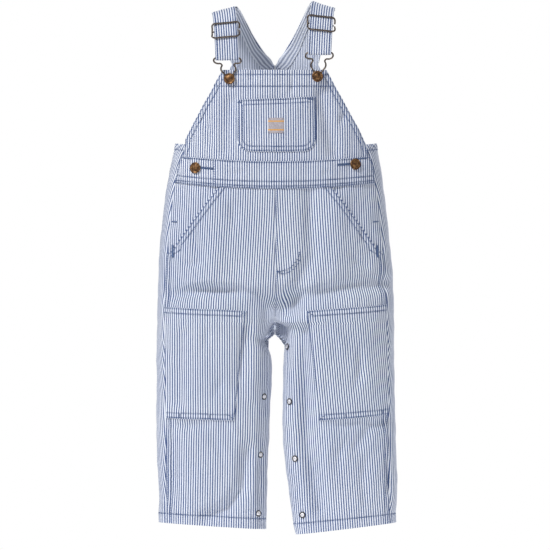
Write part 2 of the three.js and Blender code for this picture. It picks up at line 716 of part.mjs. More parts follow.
// Bent wire through a list of points
function wire(points, steps, sides = 6) {
  const ring = new THREE.Shape();
  for (let k = 0; k < sides; k += 1) {
    const angle = (2 * Math.PI * k) / sides;
    const [x, y] = [WIRE * Math.cos(angle), WIRE * Math.sin(angle)];
    if (k) ring.lineTo(x, y);
    else ring.moveTo(x, y);
  }
  ring.closePath();
  const path = new THREE.CatmullRomCurve3(points, false, "catmullrom", 0.5);
  return new THREE.ExtrudeGeometry(ring, { steps, bevelEnabled: false, extrudePath: path });
}

function solidOf(geometry) {
  const bare = geometry.index ? geometry.toNonIndexed() : geometry.clone();
  bare.deleteAttribute("normal");
  bare.deleteAttribute("uv");
  const merged = mergeVertices(bare, 1e-4);
  const mesh = new wasm.Mesh({
    numProp: 3,
    vertProperties: merged.attributes.position.array,
    triVerts: new Uint32Array(merged.index.array),
  });
  const made = new wasm.Manifold(mesh);
  return made;
}

function geometryOf(solid) {
  const { vertProperties, triVerts, numProp, numVert } = solid.getMesh();
  const position = [];
  for (let k = 0; k < numVert; k += 1) position.push(...vertProperties.subarray(k * numProp, k * numProp + 3));
  const geometry = new THREE.BufferGeometry();
  geometry.setAttribute("position", new THREE.Float32BufferAttribute(position, 3));
  geometry.setIndex([...triVerts]);
  return geometry;
}

// Slider: a wire frame in front of the strap, open at its outer end, with a middle bar behind the strap
function slider(side) {
  const along = alongOfHeight(side, STRAPS[side].slider);
  const f = strapFront(side, along, 0);
  const front = STRAP_LIFT + CLOTH / 2 + GAP + WIRE;
  const behind = STRAP_LIFT - FOLD_RADIUS;
  const { half, reach, corner, opening } = SLIDER;
  const bend = 0.0042; // the strap curves away under the frame
  const at = (x, s, out) =>
    f.p
      .clone()
      .addScaledVector(f.across, x * side)
      .addScaledVector(f.down, s)
      .addScaledVector(f.out, out - bend * s * s);
  const middle = (front + behind) / 2 - 0.6;
  const frame = [
    at(half, opening / 2 + 0.6, middle),
    at(half + 0.4, reach * 0.5, middle + 1),
    at(half - 0.3, reach - corner * 0.5, front - 0.3),
    at(half - corner, reach, front),
    at(half * 0.4, reach, front),
    at(-half * 0.4, reach, front),
    at(-half + corner, reach, front),
    at(-half + 0.3, reach - corner * 0.5, front - 0.3),
    at(-half, reach * 0.4, middle),
    at(-half, -reach * 0.4, middle),
    at(-half + 0.3, -reach + corner * 0.5, front - 0.3),
    at(-half + corner, -reach, front),
    at(-half * 0.4, -reach, front),
    at(half * 0.4, -reach, front),
    at(half - corner, -reach, front),
    at(half - 0.3, -reach + corner * 0.5, front - 0.3),
    at(half + 0.4, -reach * 0.5, middle + 1),
    at(half, -opening / 2 - 0.6, middle),
  ];
  const bar = [at(-half, 0, behind), at(0, 0, behind), at(half - 1.2, 0, behind)];
  const joined = solidOf(wire(frame, 42)).add(solidOf(wire(bar, 3)));
  add("slider_" + sideName[side], geometryOf(joined), DARK_WIRE);
}

// Bib hook: a closed wire with a bar for the strap, a narrow neck and a keyhole that drops over the button's shank
const HOOK_PROFILE = rows(
  ["x", "rise"],
  [
    [4.4, -1.4],
    [4.5, 3.2],
    [6.6, 8.4],
    [9.6, 13.6],
    [9.2, 17.6],
    [7.8, 20.4],
    [9, 22.6],
    [13.6, 23.2],
    [17.2, 25.4],
    [17.4, 29],
    [15.4, 31],
  ],
);

function hook(side) {
  const { strap: sizes, foldAlong } = strapFrame(side);
  const f = strapFront(side, foldAlong, 0);
  const bar = f.p.clone().addScaledVector(f.out, STRAP_LIFT - FOLD_RADIUS);
  const seat = frontSurface(side * sizes.buttonX, sizes.buttonHeight);
  const shank = seat.p.clone().addScaledVector(seat.n, GAP + WIRE);
  const axis = bar.clone().sub(shank);
  const topRise = HOOK_PROFILE[HOOK_PROFILE.length - 1].rise;
  const scale = axis.length() / topRise;
  axis.normalize();
  const level = (v, n) => v.clone().addScaledVector(n, -v.dot(n)).normalize();
  const lowAxis = level(axis, seat.n);
  const lowAcross = level(level(f.across.clone().multiplyScalar(side), seat.n), lowAxis);
  const highAcross = f.across.clone().multiplyScalar(side);
  const place = (x, rise) => {
    const share = smooth(clamp01(rise / (topRise - 3)));
    const across = lowAcross.clone().lerp(highAcross, share).normalize();
    return shank
      .clone()
      .addScaledVector(across, x)
      .addScaledVector(rise > 0 ? axis : lowAxis, rise * (rise > 0 ? scale : 1));
  };
  const rightHalf = HOOK_PROFILE.map(({ x, rise }) => place(x, rise));
  const leftHalf = HOOK_PROFILE.map(({ x, rise }) => place(-x, rise)).reverse();
  const lowest = place(0, -BUTTON.shank - WIRE - GAP - 0.3);
  const points = [
    place(0.6, topRise),
    place(9, topRise),
    ...[...rightHalf].reverse(),
    lowest,
    ...[...leftHalf].reverse(),
    place(-9, topRise),
    place(-0.6, topRise),
  ];
  add("bib_hook_" + sideName[side], wire(points, 56), DARK_WIRE);
}

// Turned metal: a profile of [radius, rise] spun round the normal of the cloth
function turned(name, profile, segments, seat, lift, material) {
  const geometry = new THREE.LatheGeometry(
    profile.map(([radius, rise]) => new THREE.Vector2(radius, rise)),
    segments,
  );
  const up = new THREE.Vector3(0, 1, 0);
  geometry.applyQuaternion(new THREE.Quaternion().setFromUnitVectors(up, seat.n));
  const place = seat.p.clone().addScaledVector(seat.n, lift);
  geometry.translate(place.x, place.y, place.z);
  add(name, geometry, material);
}

// Tack button: a shank that stands on the cloth and a domed head with a rolled rim
function buttonProfile(shankLength) {
  const { radius, head, shank } = BUTTON;
  return [
    [0, 0],
    [shank, 0],
    [shank, shankLength],
    [radius - 1.2, shankLength],
    [radius, shankLength + 0.7],
    [radius, shankLength + 1.3],
    [radius - 1.1, shankLength + 2],
    [radius - 2.6, shankLength + 1.6],
    [2.4, shankLength + 2],
    [0, shankLength + head],
  ];
}

function bibButton(side) {
  const { buttonX, buttonHeight } = STRAPS[side];
  const seat = frontSurface(side * buttonX, buttonHeight);
  turned("bib_button_" + sideName[side], buttonProfile(BUTTON.shankLength), 12, seat, GAP, ANTIQUE_BRASS);
}

function sideButton(side) {
  const { x, height } = SIDE_BUTTON[side];
  const seat = frontSurface(side * x, height);
  const lift = 0.7 + GAP;
  turned("side_button_" + sideName[side], buttonProfile(SIDE_BUTTON_SHANK), 12, seat, lift, ANTIQUE_BRASS);
}

// Snap: an open ring with a small dome in it, on the face of the front placket
function snap({ name, side, inset, height }) {
  const edge = bodyPoint(side, 0, height).x * side;
  const seat = surface(side, frontPlaceOf(side, edge + inset, height), height);
  const { radius, height: rise } = SNAP;
  const profile = [
    [0, 0],
    [radius, 0],
    [radius, rise * 0.6],
    [radius - 0.7, rise],
    [radius - 1.5, rise],
    [radius - 1.9, rise * 0.45],
    [0, rise * 0.7],
  ];
  turned(name, profile, 12, seat, GAP, STEEL);
}

for (const side of [-1, 1]) {
  frontLeg(side);
  back(side);
  hipFacing(side);
  sidePlacket(side);
  kneePatch(side);
  crotchFacing(side);
  neckFacing(side);
  strap(side);
  slider(side);
  hook(side);
  bibButton(side);
  sideButton(side);
}
bib();
waistband();
bibPocket();
label();
SNAPS.forEach(snap);

garment.position.z = -SHOULDER_HEIGHT;

export default garment;
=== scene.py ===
"""Kids bib overalls in striped cotton twill, filled out as worn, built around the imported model.

Each cloth piece is a thin shell on its solid's own form, with its folds, hems, sewn rows and stripes. The
wire, the buttons and the snaps are modelled on the solids' routes. Lengths in the tables are millimetres,
heights are counted up from the lowest hem, and x is positive to the wearer's left.
"""

import functools
import json
import math

import bpy
import numpy as np
from mathutils import Matrix, Vector

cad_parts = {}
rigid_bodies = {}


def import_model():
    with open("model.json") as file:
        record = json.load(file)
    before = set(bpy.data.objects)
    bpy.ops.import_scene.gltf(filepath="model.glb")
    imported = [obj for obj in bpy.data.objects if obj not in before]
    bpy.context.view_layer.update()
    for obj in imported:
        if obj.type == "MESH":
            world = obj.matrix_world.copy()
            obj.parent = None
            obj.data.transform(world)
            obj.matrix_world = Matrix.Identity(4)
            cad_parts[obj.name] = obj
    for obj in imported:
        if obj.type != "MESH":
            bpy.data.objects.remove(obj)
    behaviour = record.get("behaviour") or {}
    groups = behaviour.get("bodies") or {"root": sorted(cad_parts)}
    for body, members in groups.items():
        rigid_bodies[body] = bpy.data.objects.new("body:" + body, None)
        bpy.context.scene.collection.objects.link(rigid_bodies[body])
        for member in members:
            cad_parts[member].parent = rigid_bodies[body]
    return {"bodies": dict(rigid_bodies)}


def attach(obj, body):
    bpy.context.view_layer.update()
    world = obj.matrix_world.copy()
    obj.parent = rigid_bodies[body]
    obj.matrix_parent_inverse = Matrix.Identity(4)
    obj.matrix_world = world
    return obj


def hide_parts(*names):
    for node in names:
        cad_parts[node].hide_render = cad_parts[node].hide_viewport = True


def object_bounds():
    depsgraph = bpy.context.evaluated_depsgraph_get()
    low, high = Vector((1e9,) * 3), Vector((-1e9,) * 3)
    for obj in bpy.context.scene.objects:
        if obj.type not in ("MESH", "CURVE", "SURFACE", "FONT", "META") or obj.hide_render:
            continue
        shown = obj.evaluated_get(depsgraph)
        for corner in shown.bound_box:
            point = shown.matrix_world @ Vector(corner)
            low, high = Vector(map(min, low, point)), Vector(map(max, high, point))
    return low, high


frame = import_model()
CAD_LOW, CAD_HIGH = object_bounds()
BODY = next(iter(frame["bodies"]))

bl_info = {
    "name": "Kids bib overalls",
    "version": (1, 0, 0),
    "blender": (4, 5, 0),
    "location": "View3D > Sidebar > Overalls",
    "description": "Builds striped bib overalls with their sewing, wire, buttons and snaps",
    "category": "Object",
}

MM = 0.001
SIDE_NAMES = {1: "left", -1: "right"}


def table(names, *rows):
    """A short table as named columns."""
    return dict(zip(names.split(), np.array(rows, float).T))


# Heights of the seams and the form of the body, as the solids have them
SQUARENESS = 2.3
SHOULDER_HEIGHT = 681.0
HEM = {1: 5.5, -1: 9.0}
HEM_TILT = {1: 16.5, -1: 10.0}
HEM_TILT_FADE = 80.0
WAIST_SEAM = 449.0
BIB_SEAM = 482.0
BIB_TOP = 602.0
CROTCH_FRONT = 274.0
CROTCH_BACK = 256.0
FRONT_RISE_CURVE = 52.0
BACK_RISE_CURVE = 104.0
CROTCH_OPENING = {1: (4.0, 12.0), -1: (20.0, 4.0)}  # before and behind
CROTCH_SPREAD = {1: (4.5, 262.0, 17.0), -1: (6.0, 252.0, 12.0)}  # amount, height, reach
INSEAM_FORWARD = 10.0
UNDERLAP = 0.042
BACK_SIDE_TOP = 500.0
BACK_PLANE_TOP = 612.0
ARCH_MIDDLE = -1.0
ARCH_HALF = 43.0
ARCH_LENGTH = 182.0
APEX_ALONG = 91.0
BACK_TOP_ALONG = 88.0
SHOULDER_SLOPE = 0.28
NECK_POINT = -3.0  # where the V of the back starts, counted along the shoulder arm

SECTIONS = table(
    "height outer_left inner_left outer_right inner_right front back",
    (-10, 158, 30, 151.5, 11.5, 27, 25),
    (17, 158, 25, 151.5, 11, 27, 25),
    (43, 159.5, 20.5, 151.5, 10.7, 28, 26),
    (69, 159.5, 17, 152.5, 10, 29, 27),
    (95, 158.5, 13.5, 153.5, 9.5, 30, 28),
    (121, 157.5, 10.5, 154.5, 8.5, 31, 29),
    (173, 156, 10, 154, 6, 34, 32),
    (225, 155, 10.8, 154, 4.2, 39, 40),
    (250, 155, 11, 154, 8, 42, 45),
    (274, 155, 8.5, 153.5, 7.5, 45, 50),
    (305, 155, 8, 153, 7, 49, 57),
    (340, 153.5, 8, 152, 7, 52, 61),
    (380, 149, 8, 149, 7, 53, 60),
    (420, 144.5, 8, 144, 7, 52, 56),
    (455, 139.5, 8, 138, 7, 51, 53),
    (482, 135.5, 8, 133.5, 7, 50, 51),
    (500, 132, 8, 129.5, 7, 49, 49),
    (520, 127, 8, 126, 7, 48, 47),
    (560, 115, 8, 115, 7, 46, 44),
    (612, 104, 8, 104, 7, 44, 42),
)
TOP_OUTER = SECTIONS["outer_left"][-1]
SIDE_LIFT = table("height lift", (280, 0), (350, 2), (400, 6), (450, 9), (485, 8), (540, 3), (602, 0))
SIDE_SEAM = table(
    "height left right",
    (0, 149, 142),
    (100, 148.5, 142),
    (196, 147.5, 142.5),
    (262, 146, 144),
    (330, 143.5, 143),
    (372, 140, 140),
    (419, 135, 134.5),
    (463, 127.5, 126.5),
    (492, 120.5, 119),
    (500, 118.5, 117),
)
BIB_SIDE = table(
    "height half",
    (482, 121),
    (498, 118.5),
    (510, 114),
    (524, 107.5),
    (552, 93.5),
    (574, 81.5),
    (590, 73.5),
    (602, 67),
)
BIB_EASE = 0.7
ARMHOLE_EDGE = table(
    "height place",
    (500, 0.655),
    (512, 0.7),
    (524, 0.728),
    (545, 0.762),
    (570, 0.79),
    (595, 0.818),
    (612, 0.8366),
)
SHOULDER_EDGES = table(
    "height inner outer",
    (-3, 0.4, 56.5),
    (0, 3, 57.5),
    (8, 12, 60.5),
    (16, 20.5, 63.5),
    (34, 31.5, 69),
    (49, 38, 73),
    (70, 43.5, 76.5),
    (91, 48, 79),
)
STRAPS = {
    1: dict(top=685.5, apex=63, foot=57.5, fold=624, button=(54.3, 593), slider=661, neck=0),
    -1: dict(top=679, apex=67, foot=62, fold=617, button=(58.5, 590), slider=652.5, neck=2),
}
STRAP_WIDTH = 30.0
STRAP_BACK = table(
    "height inner inner_along outer outer_along",
    (0, 0.5, -3, 0.5, -43),
    (1, 5, 3, 13, -30),
    (2, 11, 8, 25, -18),
    (3, 21, 20, 46, 4),
    (4, 26, 27, 54, 17),
    (5, 30, 34, 59.5, 27),
    (6, 37, 49, 66.5, 46),
    (7, 42, 64, 71, 63),
    (8, 45.5, 77, 75, 77),
    (9, 48, 91, 78, 91),
)

# Where the grain runs down the middle of each front and back, so that the stripes lean as the legs do
GRAIN = table("height left right", (0, 99, 83), (150, 89, 80), (300, 79, 77), (449, 70, 70), (620, 70, 70))

# Pockets, patches and label
BIB_POCKET = dict(left=-49.0, right=53.0, top=565.0, bottom=495.5, corner=17.0, skew=4.0)
LABEL = dict(left=-9.0, right=11.5, top=539.5, bottom=519.5)
KNEE_PATCH = {
    1: dict(top=(289, 297), bottom=(147, 153), inner=(41, 57), slots=(0.3, 0.86)),
    -1: dict(top=(289, 294), bottom=(147, 149), inner=(37, 53), slots=(0.3, 0.72)),
}
POCKET_MOUTH = dict(top_x=72.0, foot_x=129.0, foot=372.0, turn=14.0, facing_foot=356.0, under=14.0)
SIDE_PLACKET = dict(top=486.0, bottom=402.0, start=0.28, past=0.03)
NECK_FACING = 11.0
SIDE_BUTTON = {1: (103.5, 474.5), -1: (102.5, 469.5)}
CROTCH_FACING = dict(bottom=216.0, top=290.0, share=1 / 13)  # share of the back's width
FACING_CLOTH = 1.0
LABEL_CLOTH = 0.9
SNAPS = (
    ("snap_left_1", 1, 3, 243),
    ("snap_left_2", 1, 8.5, 172),
    ("snap_left_3", 1, 13, 99),
    ("snap_left_4", 1, 13, 28.5),
    ("snap_right_1", -1, 9, 178),
    ("snap_right_2", -1, 9, 103),
    ("snap_right_3", -1, 11, 28.5),
)

# Folds that the solids have, and finer creases: points (x, height), width, depth and fade of the ends
FRONT_FOLDS = (
    (((-128, 311), (-90, 315), (-49, 314)), 9, -3.2, 0),
    (((20, 303), (71, 314), (145, 325)), 9, -3.4, 0),
    (((46, 442), (48, 361), (31, 322), (18, 289)), 10, -3, 0),
    (((36, 262), (40, 173), (39, 121), (52, 62), (58, 32)), 9, -4, 0),
    (((-91, 21), (-61, 33), (-42, 59), (-36, 108)), 9, -3, 0),
    (((142, 147), (123, 137), (106, 112)), 8, -2.4, 0),
    (((-120, 257), (-123, 173)), 10, -2.2, 0),
    (((-38, 264), (-48, 192)), 9, -1.8, 0),
    (((-25, 262), (-30, 178)), 9, 1.4, 0),
    (((61, 569), (69, 526), (76, 496)), 10, -2.8, 0),
    (((-58, 560), (-63, 500)), 9, -2, 0),
    (((82, 432), (78, 345)), 16, 1.8, 0),
    (((-76, 430), (-80, 345)), 16, 1.8, 0),
)
BACK_FOLDS = (
    (((-24, 332), (-60, 316), (-96, 296)), 10, -3.4, 0),
    (((22, 338), (55, 322), (88, 303)), 10, -3.4, 0),
    (((-38, 302), (-112, 262)), 10, -3, 0),
    (((34, 306), (106, 270)), 10, -3, 0),
    (((-140, 202), (-80, 190), (-30, 198)), 10, -3, 0),
    (((140, 192), (82, 184), (36, 194)), 10, -3, 0),
    (((-122, 152), (-58, 138)), 9, -2.6, 0),
    (((126, 142), (68, 126)), 9, -2.6, 0),
    (((-20, 560), (-34, 502)), 10, -2, 0),
    (((24, 548), (32, 492)), 10, -1.8, 0),
)
FRONT_CREASES = (
    (((-105, 396), (-102, 372), (-97, 348)), 4.5, -1.1, 0.8),
    (((-120, 352), (-108, 349), (-95, 353)), 3.6, -0.8, 0.9),
    (((-132, 126), (-130, 84), (-133, 42)), 6.5, -1.3, 0.8),
    (((-88, 130), (-72, 112), (-66, 88)), 5, -0.8, 0.9),
    (((-60, 142), (-44, 128)), 4.5, 0.8, 0.9),
    (((-14, 118), (-20, 70), (-17, 30)), 4.5, -1.0, 0.9),
    (((-10, 300), (-26, 311), (-44, 313)), 4.5, -1.0, 0.9),
    (((8, 306), (20, 319), (33, 326)), 4, -1.0, 0.9),
    (((96, 366), (110, 352), (126, 344)), 4.5, -0.9, 0.9),
    (((112, 398), (118, 372)), 4, -0.7, 0.9),
    (((146, 97), (148, 76), (147, 52)), 3.2, -1.5, 0.7),
    (((98, 128), (84, 104), (80, 76)), 5.5, -0.9, 0.9),
    (((120, 108), (114, 66), (118, 30)), 6, -0.8, 0.9),
    (((76, 132), (66, 96), (72, 50)), 5, 0.7, 0.9),
    (((-96, 545), (-84, 520), (-86, 498)), 5, -1.0, 0.9),
    (((92, 548), (84, 528)), 4.5, -0.8, 0.9),
    (((20, 598), (23, 580), (19, 568)), 3.6, -0.6, 0.9),
    (((-30, 600), (-27, 586)), 3.6, -0.5, 0.9),
    (((-64, 470), (-52, 466), (-38, 470)), 4, -0.6, 0.9),
    (((60, 466), (74, 470)), 4, -0.6, 0.9),
    (((-58, 432), (-50, 398)), 6, -0.8, 0.9),
    (((108, 250), (112, 214), (104, 182)), 6, -1.1, 0.9),
    (((74, 268), (86, 252), (90, 228)), 5, 0.8, 0.9),
    (((-84, 270), (-92, 238)), 5, -0.8, 0.9),
    (((-66, 202), (-78, 178)), 5, -0.8, 0.9),
    (((70, 204), (66, 172)), 5, -0.7, 0.9),
    (((30, 250), (37, 200), (45, 140), (55, 70), (62, 34)), 14, -1.9, 0.6),
    (((-88, 18), (-60, 32), (-41, 60), (-34, 104)), 11, -1.8, 0.6),
    (((-122, 313), (-88, 317), (-52, 315)), 5.5, -1.2, 0.7),
    (((-118, 324), (-84, 328), (-50, 325)), 7, 0.9, 0.8),
    (((60, 318), (96, 324), (138, 334)), 5.5, -1.0, 0.8),
    (((-134, 141), (-110, 139), (-82, 140)), 5, -1.1, 0.8),
    (((62, 139), (92, 141), (130, 144)), 5, -1.0, 0.8),
)
BACK_CREASES = (
    (((-12, 318), (-30, 306), (-52, 300)), 5, -1.2, 0.9),
    (((12, 322), (34, 312), (60, 308)), 5, -1.2, 0.9),
    (((-62, 286), (-92, 270), (-126, 262)), 5, -1.2, 0.9),
    (((60, 290), (96, 276), (128, 270)), 5, -1.2, 0.9),
    (((-128, 214), (-96, 206), (-66, 210)), 4.5, -1.2, 0.9),
    (((128, 206), (98, 198), (60, 204)), 4.5, -1.1, 0.9),
    (((-112, 178), (-78, 172), (-48, 176)), 4.5, 0.9, 0.9),
    (((118, 172), (86, 166), (52, 174)), 4.5, 0.9, 0.9),
    (((-104, 122), (-84, 96), (-88, 62)), 5, -1.0, 0.9),
    (((96, 112), (82, 84), (88, 48)), 5, -1.0, 0.9),
    (((-40, 110), (-34, 72), (-42, 34)), 5, -1.0, 0.9),
    (((46, 106), (56, 66), (54, 32)), 5, -1.0, 0.9),
    (((-96, 440), (-88, 412), (-92, 380)), 5, -0.9, 0.9),
    (((90, 446), (96, 416), (88, 386)), 5, -0.9, 0.9),
    (((-6, 470), (-14, 440), (-10, 400)), 5, -0.8, 0.9),
    (((50, 470), (44, 436)), 5, -0.8, 0.9),
    (((-72, 540), (-62, 512), (-66, 480)), 5.5, -1.1, 0.9),
    (((66, 530), (58, 506), (62, 474)), 5.5, -1.1, 0.9),
    (((-8, 590), (-26, 572)), 4.5, -0.8, 0.9),
    (((10, 588), (30, 566)), 4.5, -0.8, 0.9),
)
CLEFT_REACH = 12.0  # above the crotch the cloth spans the cleft this far on each side of the seam
CLEFT_DIP = 1.6
# The band at the inseam's edge turns away: its width and how steeply it turns on each leg
TURN_IN = table("height wide right left", (150, 16.5, 0.6, 0.12), (235, 10, 1.1, 0.12))
FOLD_DEPTH = 1.8  # soft cloth folds a little deeper than the solids
# Slight unevenness of the hand: amplitude, wavelength, direction in degrees, phase
SWELLS = (
    (0.34, 61.0, 12.0, 0.4),
    (0.28, 43.0, -38.0, 1.9),
    (0.2, 29.0, 64.0, 4.1),
    (0.13, 19.0, -14.0, 2.6),
    (0.08, 12.5, 41.0, 5.2),
)

# Cloth, hems and sewn rows
CLOTH = 1.25
CLEAR = 0.22  # between layers that lie on each other
LAYER = CLOTH + CLEAR
EDGE_RADIUS = 0.7
BAND_RISE = 0.34  # a turned hem is this much prouder than the single cloth
GROOVE = 0.42
CENTRE_GROOVE = 0.5
PUCKER = dict(depth=0.27, pitch=6.1, drift=31.0, reach=3.2)  # small waves along a sewn row
MOUTH_GAPE = dict(depth=1.1, tall=26.0, reach=9.0)  # how the pocket's mouth stands off the hip
NO_ROW = 9.0  # the shading takes this distance as far from any sewn row
WAISTBAND_OUT = LAYER
POCKET_OUT = LAYER
LABEL_OUT = POCKET_OUT + 0.95
PATCH_OUT = LAYER
HEM_ROW = 13.0
SEAM_ROWS = (1.7, 7.0)
BIB_TOP_ROWS = (6.3, 21.5)
ARMHOLE_ROW = 8.5
FRONT_EDGE_ROW = 17.0
WAISTBAND_ROWS = (1.0, 3.6, 9.6)
GRID = 2.4  # spacing of the cloth's grid between its seams
BACK_GRID = 2.9
GATHER = dict(pitch=5.2, depth=0.42, drift=27.0, reach=9.5)  # ribs of the gathered edge under each arm
STEEPEST = dict(armhole=1.7, neck=1.9)  # widest step round a row at the back's slanting edges

WIRE = 1.1
WIRE_GAP = 0.3
BUTTON = dict(radius=7.3, shank=2.4, shank_length=2.9)
SLIDER = dict(half=17.6, reach=10.0, corner=3.2, opening=2.4, bend=0.0042)
FOLD_RADIUS = WIRE + WIRE_GAP + 0.75
STRAP_LIFT = 1.65
HOOK_PROFILE = table(
    "height x",
    (-1.4, 4.4),
    (3.2, 4.5),
    (8.4, 6.6),
    (13.6, 9.6),
    (17.6, 9.2),
    (20.4, 7.8),
    (22.6, 9),
    (23.2, 13.6),
    (25.4, 17.2),
    (29, 17.4),
    (31, 15.4),
)


COLOUR = dict(subtype="COLOR", min=0, max=1)
LENGTH = dict(unit="LENGTH", precision=5)


class OverallsCloth(bpy.types.PropertyGroup):
    """Sizes and colours of the cloth and its thread"""

    stripe_repeat: bpy.props.FloatProperty(
        name="Stripe repeat", description="One white and one blue stripe", default=0.003175, **LENGTH
    )
    stitch_pitch: bpy.props.FloatProperty(
        name="Stitch pitch", description="From one stitch to the next", default=0.0029, **LENGTH
    )
    thread_width: bpy.props.FloatProperty(
        name="Thread width", description="Width of a topstitch", default=0.00072, **LENGTH
    )
    crease_scale: bpy.props.FloatProperty(
        name="Crease depth", description="Scale of the fine creases", default=1.7, min=0.0, subtype="FACTOR"
    )
    white: bpy.props.FloatVectorProperty(
        name="White yarn", description="Light stripe", default=(0.875, 0.91, 0.975), **COLOUR
    )
    blue: bpy.props.FloatVectorProperty(
        name="Blue yarn", description="Dark stripe", default=(0.043, 0.09, 0.25), **COLOUR
    )
    thread: bpy.props.FloatVectorProperty(
        name="Thread", description="Topstitching", default=(0.048, 0.085, 0.185), **COLOUR
    )
    label: bpy.props.FloatVectorProperty(
        name="Label", description="Woven label", default=(0.33, 0.285, 0.31), **COLOUR
    )
    label_bar: bpy.props.FloatVectorProperty(
        name="Label bars", description="Plain bars on the label", default=(0.75, 0.36, 0.05), **COLOUR
    )


class OverallsMetal(bpy.types.PropertyGroup):
    """Sizes and colours of the wire, buttons and snaps"""

    wire_width: bpy.props.FloatProperty(
        name="Wire", description="Diameter of the bent wire", default=2 * WIRE * MM, **LENGTH
    )
    brass: bpy.props.FloatVectorProperty(
        name="Brass", description="Rubbed brass of the buttons", default=(0.30, 0.165, 0.075), **COLOUR
    )
    patina: bpy.props.FloatVectorProperty(
        name="Patina", description="Dark of the buttons", default=(0.11, 0.06, 0.035), **COLOUR
    )
    wire: bpy.props.FloatVectorProperty(
        name="Wire colour", description="Sliders and hooks", default=(0.13, 0.105, 0.09), **COLOUR
    )
    steel: bpy.props.FloatVectorProperty(
        name="Steel", description="Snaps", default=(0.9, 0.89, 0.92), **COLOUR
    )


class OverallsStage(bpy.types.PropertyGroup):
    """Light, floor and camera"""

    key_power: bpy.props.FloatProperty(
        name="Key light", description="Light at the photo's upper left", default=82.0, unit="POWER"
    )
    fill_power: bpy.props.FloatProperty(
        name="Fill light", description="Wide light in front", default=8.5, unit="POWER"
    )
    inner_power: bpy.props.FloatProperty(
        name="Inner light", description="Small light above the crotch", default=0.1, unit="POWER"
    )
    side_power: bpy.props.FloatProperty(
        name="Side light", description="Light at the photo's right", default=12.0, unit="POWER"
    )
    back_power: bpy.props.FloatProperty(
        name="Back light", description="Light behind", default=26.0, unit="POWER"
    )
    surround: bpy.props.FloatProperty(
        name="Surround", description="Strength of the even light from all round", default=0.27, min=0.0
    )
    camera_distance: bpy.props.FloatProperty(
        name="Camera distance", description="From the garment's middle", default=10.0, unit="LENGTH"
    )
    camera_elevation: bpy.props.FloatProperty(
        name="Camera elevation",
        description="Angle above the horizon",
        default=math.radians(0.5),
        subtype="ANGLE",
        unit="ROTATION",
    )


def smooth(v):
    """A smooth step from 0 to 1."""
    v = np.clip(v, 0.0, 1.0)
    return v * v * (3 - 2 * v)


def mix(a, b, t):
    return a + (b - a) * t


def power(v):
    return np.sign(v) * np.abs(v) ** (2 / SQUARENESS)


def unpower(v):
    return np.sign(v) * np.abs(v) ** (SQUARENESS / 2)


def together(*values):
    """Numbers or arrays as arrays of one shape."""
    return np.broadcast_arrays(*(np.asarray(value, float) for value in values))


def unit(v):
    return v / np.linalg.norm(v, axis=-1, keepdims=True)


def look(rows, column, at):
    """A column of a table at any heights, as one smooth curve through its rows."""
    keys, values = rows["height"], rows[column]
    last = len(keys) - 1
    before = np.maximum(np.arange(last + 1) - 1, 0)
    after = np.minimum(np.arange(last + 1) + 1, last)
    slopes = (values[after] - values[before]) / (keys[after] - keys[before])
    at = np.clip(at, keys[0], keys[-1])
    i = np.clip(np.searchsorted(keys, at, side="right") - 1, 0, last - 1)
    span = keys[i + 1] - keys[i]
    t = (at - keys[i]) / span
    t2, t3 = t * t, t * t * t
    return (
        (2 * t3 - 3 * t2 + 1) * values[i]
        + (t3 - 2 * t2 + t) * span * slopes[i]
        + (3 * t2 - 2 * t3) * values[i + 1]
        + (t3 - t2) * span * slopes[i + 1]
    )


def fold_depth(folds, x, z):
    """How far the surface rises (or sinks, below 0) at points of the front or back."""
    total = np.zeros_like(x)
    for line, width, depth, fade in folds:
        line = np.array(line, float)
        lengths = np.linalg.norm(np.diff(line, axis=0), axis=1)
        nearest = np.full_like(x, np.inf)
        along = np.zeros_like(x)
        start = 0.0
        for (ax, az), (bx, bz), length in zip(line[:-1], line[1:], lengths):
            t = np.clip(((x - ax) * (bx - ax) + (z - az) * (bz - az)) / length**2, 0, 1)
            distance = np.hypot(x - ax - t * (bx - ax), z - az - t * (bz - az))
            closer = distance < nearest
            nearest = np.where(closer, distance, nearest)
            along = np.where(closer, (start + t * length) / lengths.sum(), along)
            start += length
        ends = 1 - fade * np.abs(2 * along - 1) ** 2.2
        total += depth * ends * np.exp(-((nearest / width) ** 2))
    return total


def swell(point):
    """The slight unevenness of cloth that hangs free."""
    across = point[..., 0] + 0.7 * point[..., 1]
    total = 0.0
    for amplitude, wavelength, direction, phase in SWELLS:
        angle = math.radians(direction)
        travel = across * math.cos(angle) + point[..., 2] * math.sin(angle)
        total = total + amplitude * np.sin(2 * np.pi * travel / wavelength + phase)
    return total


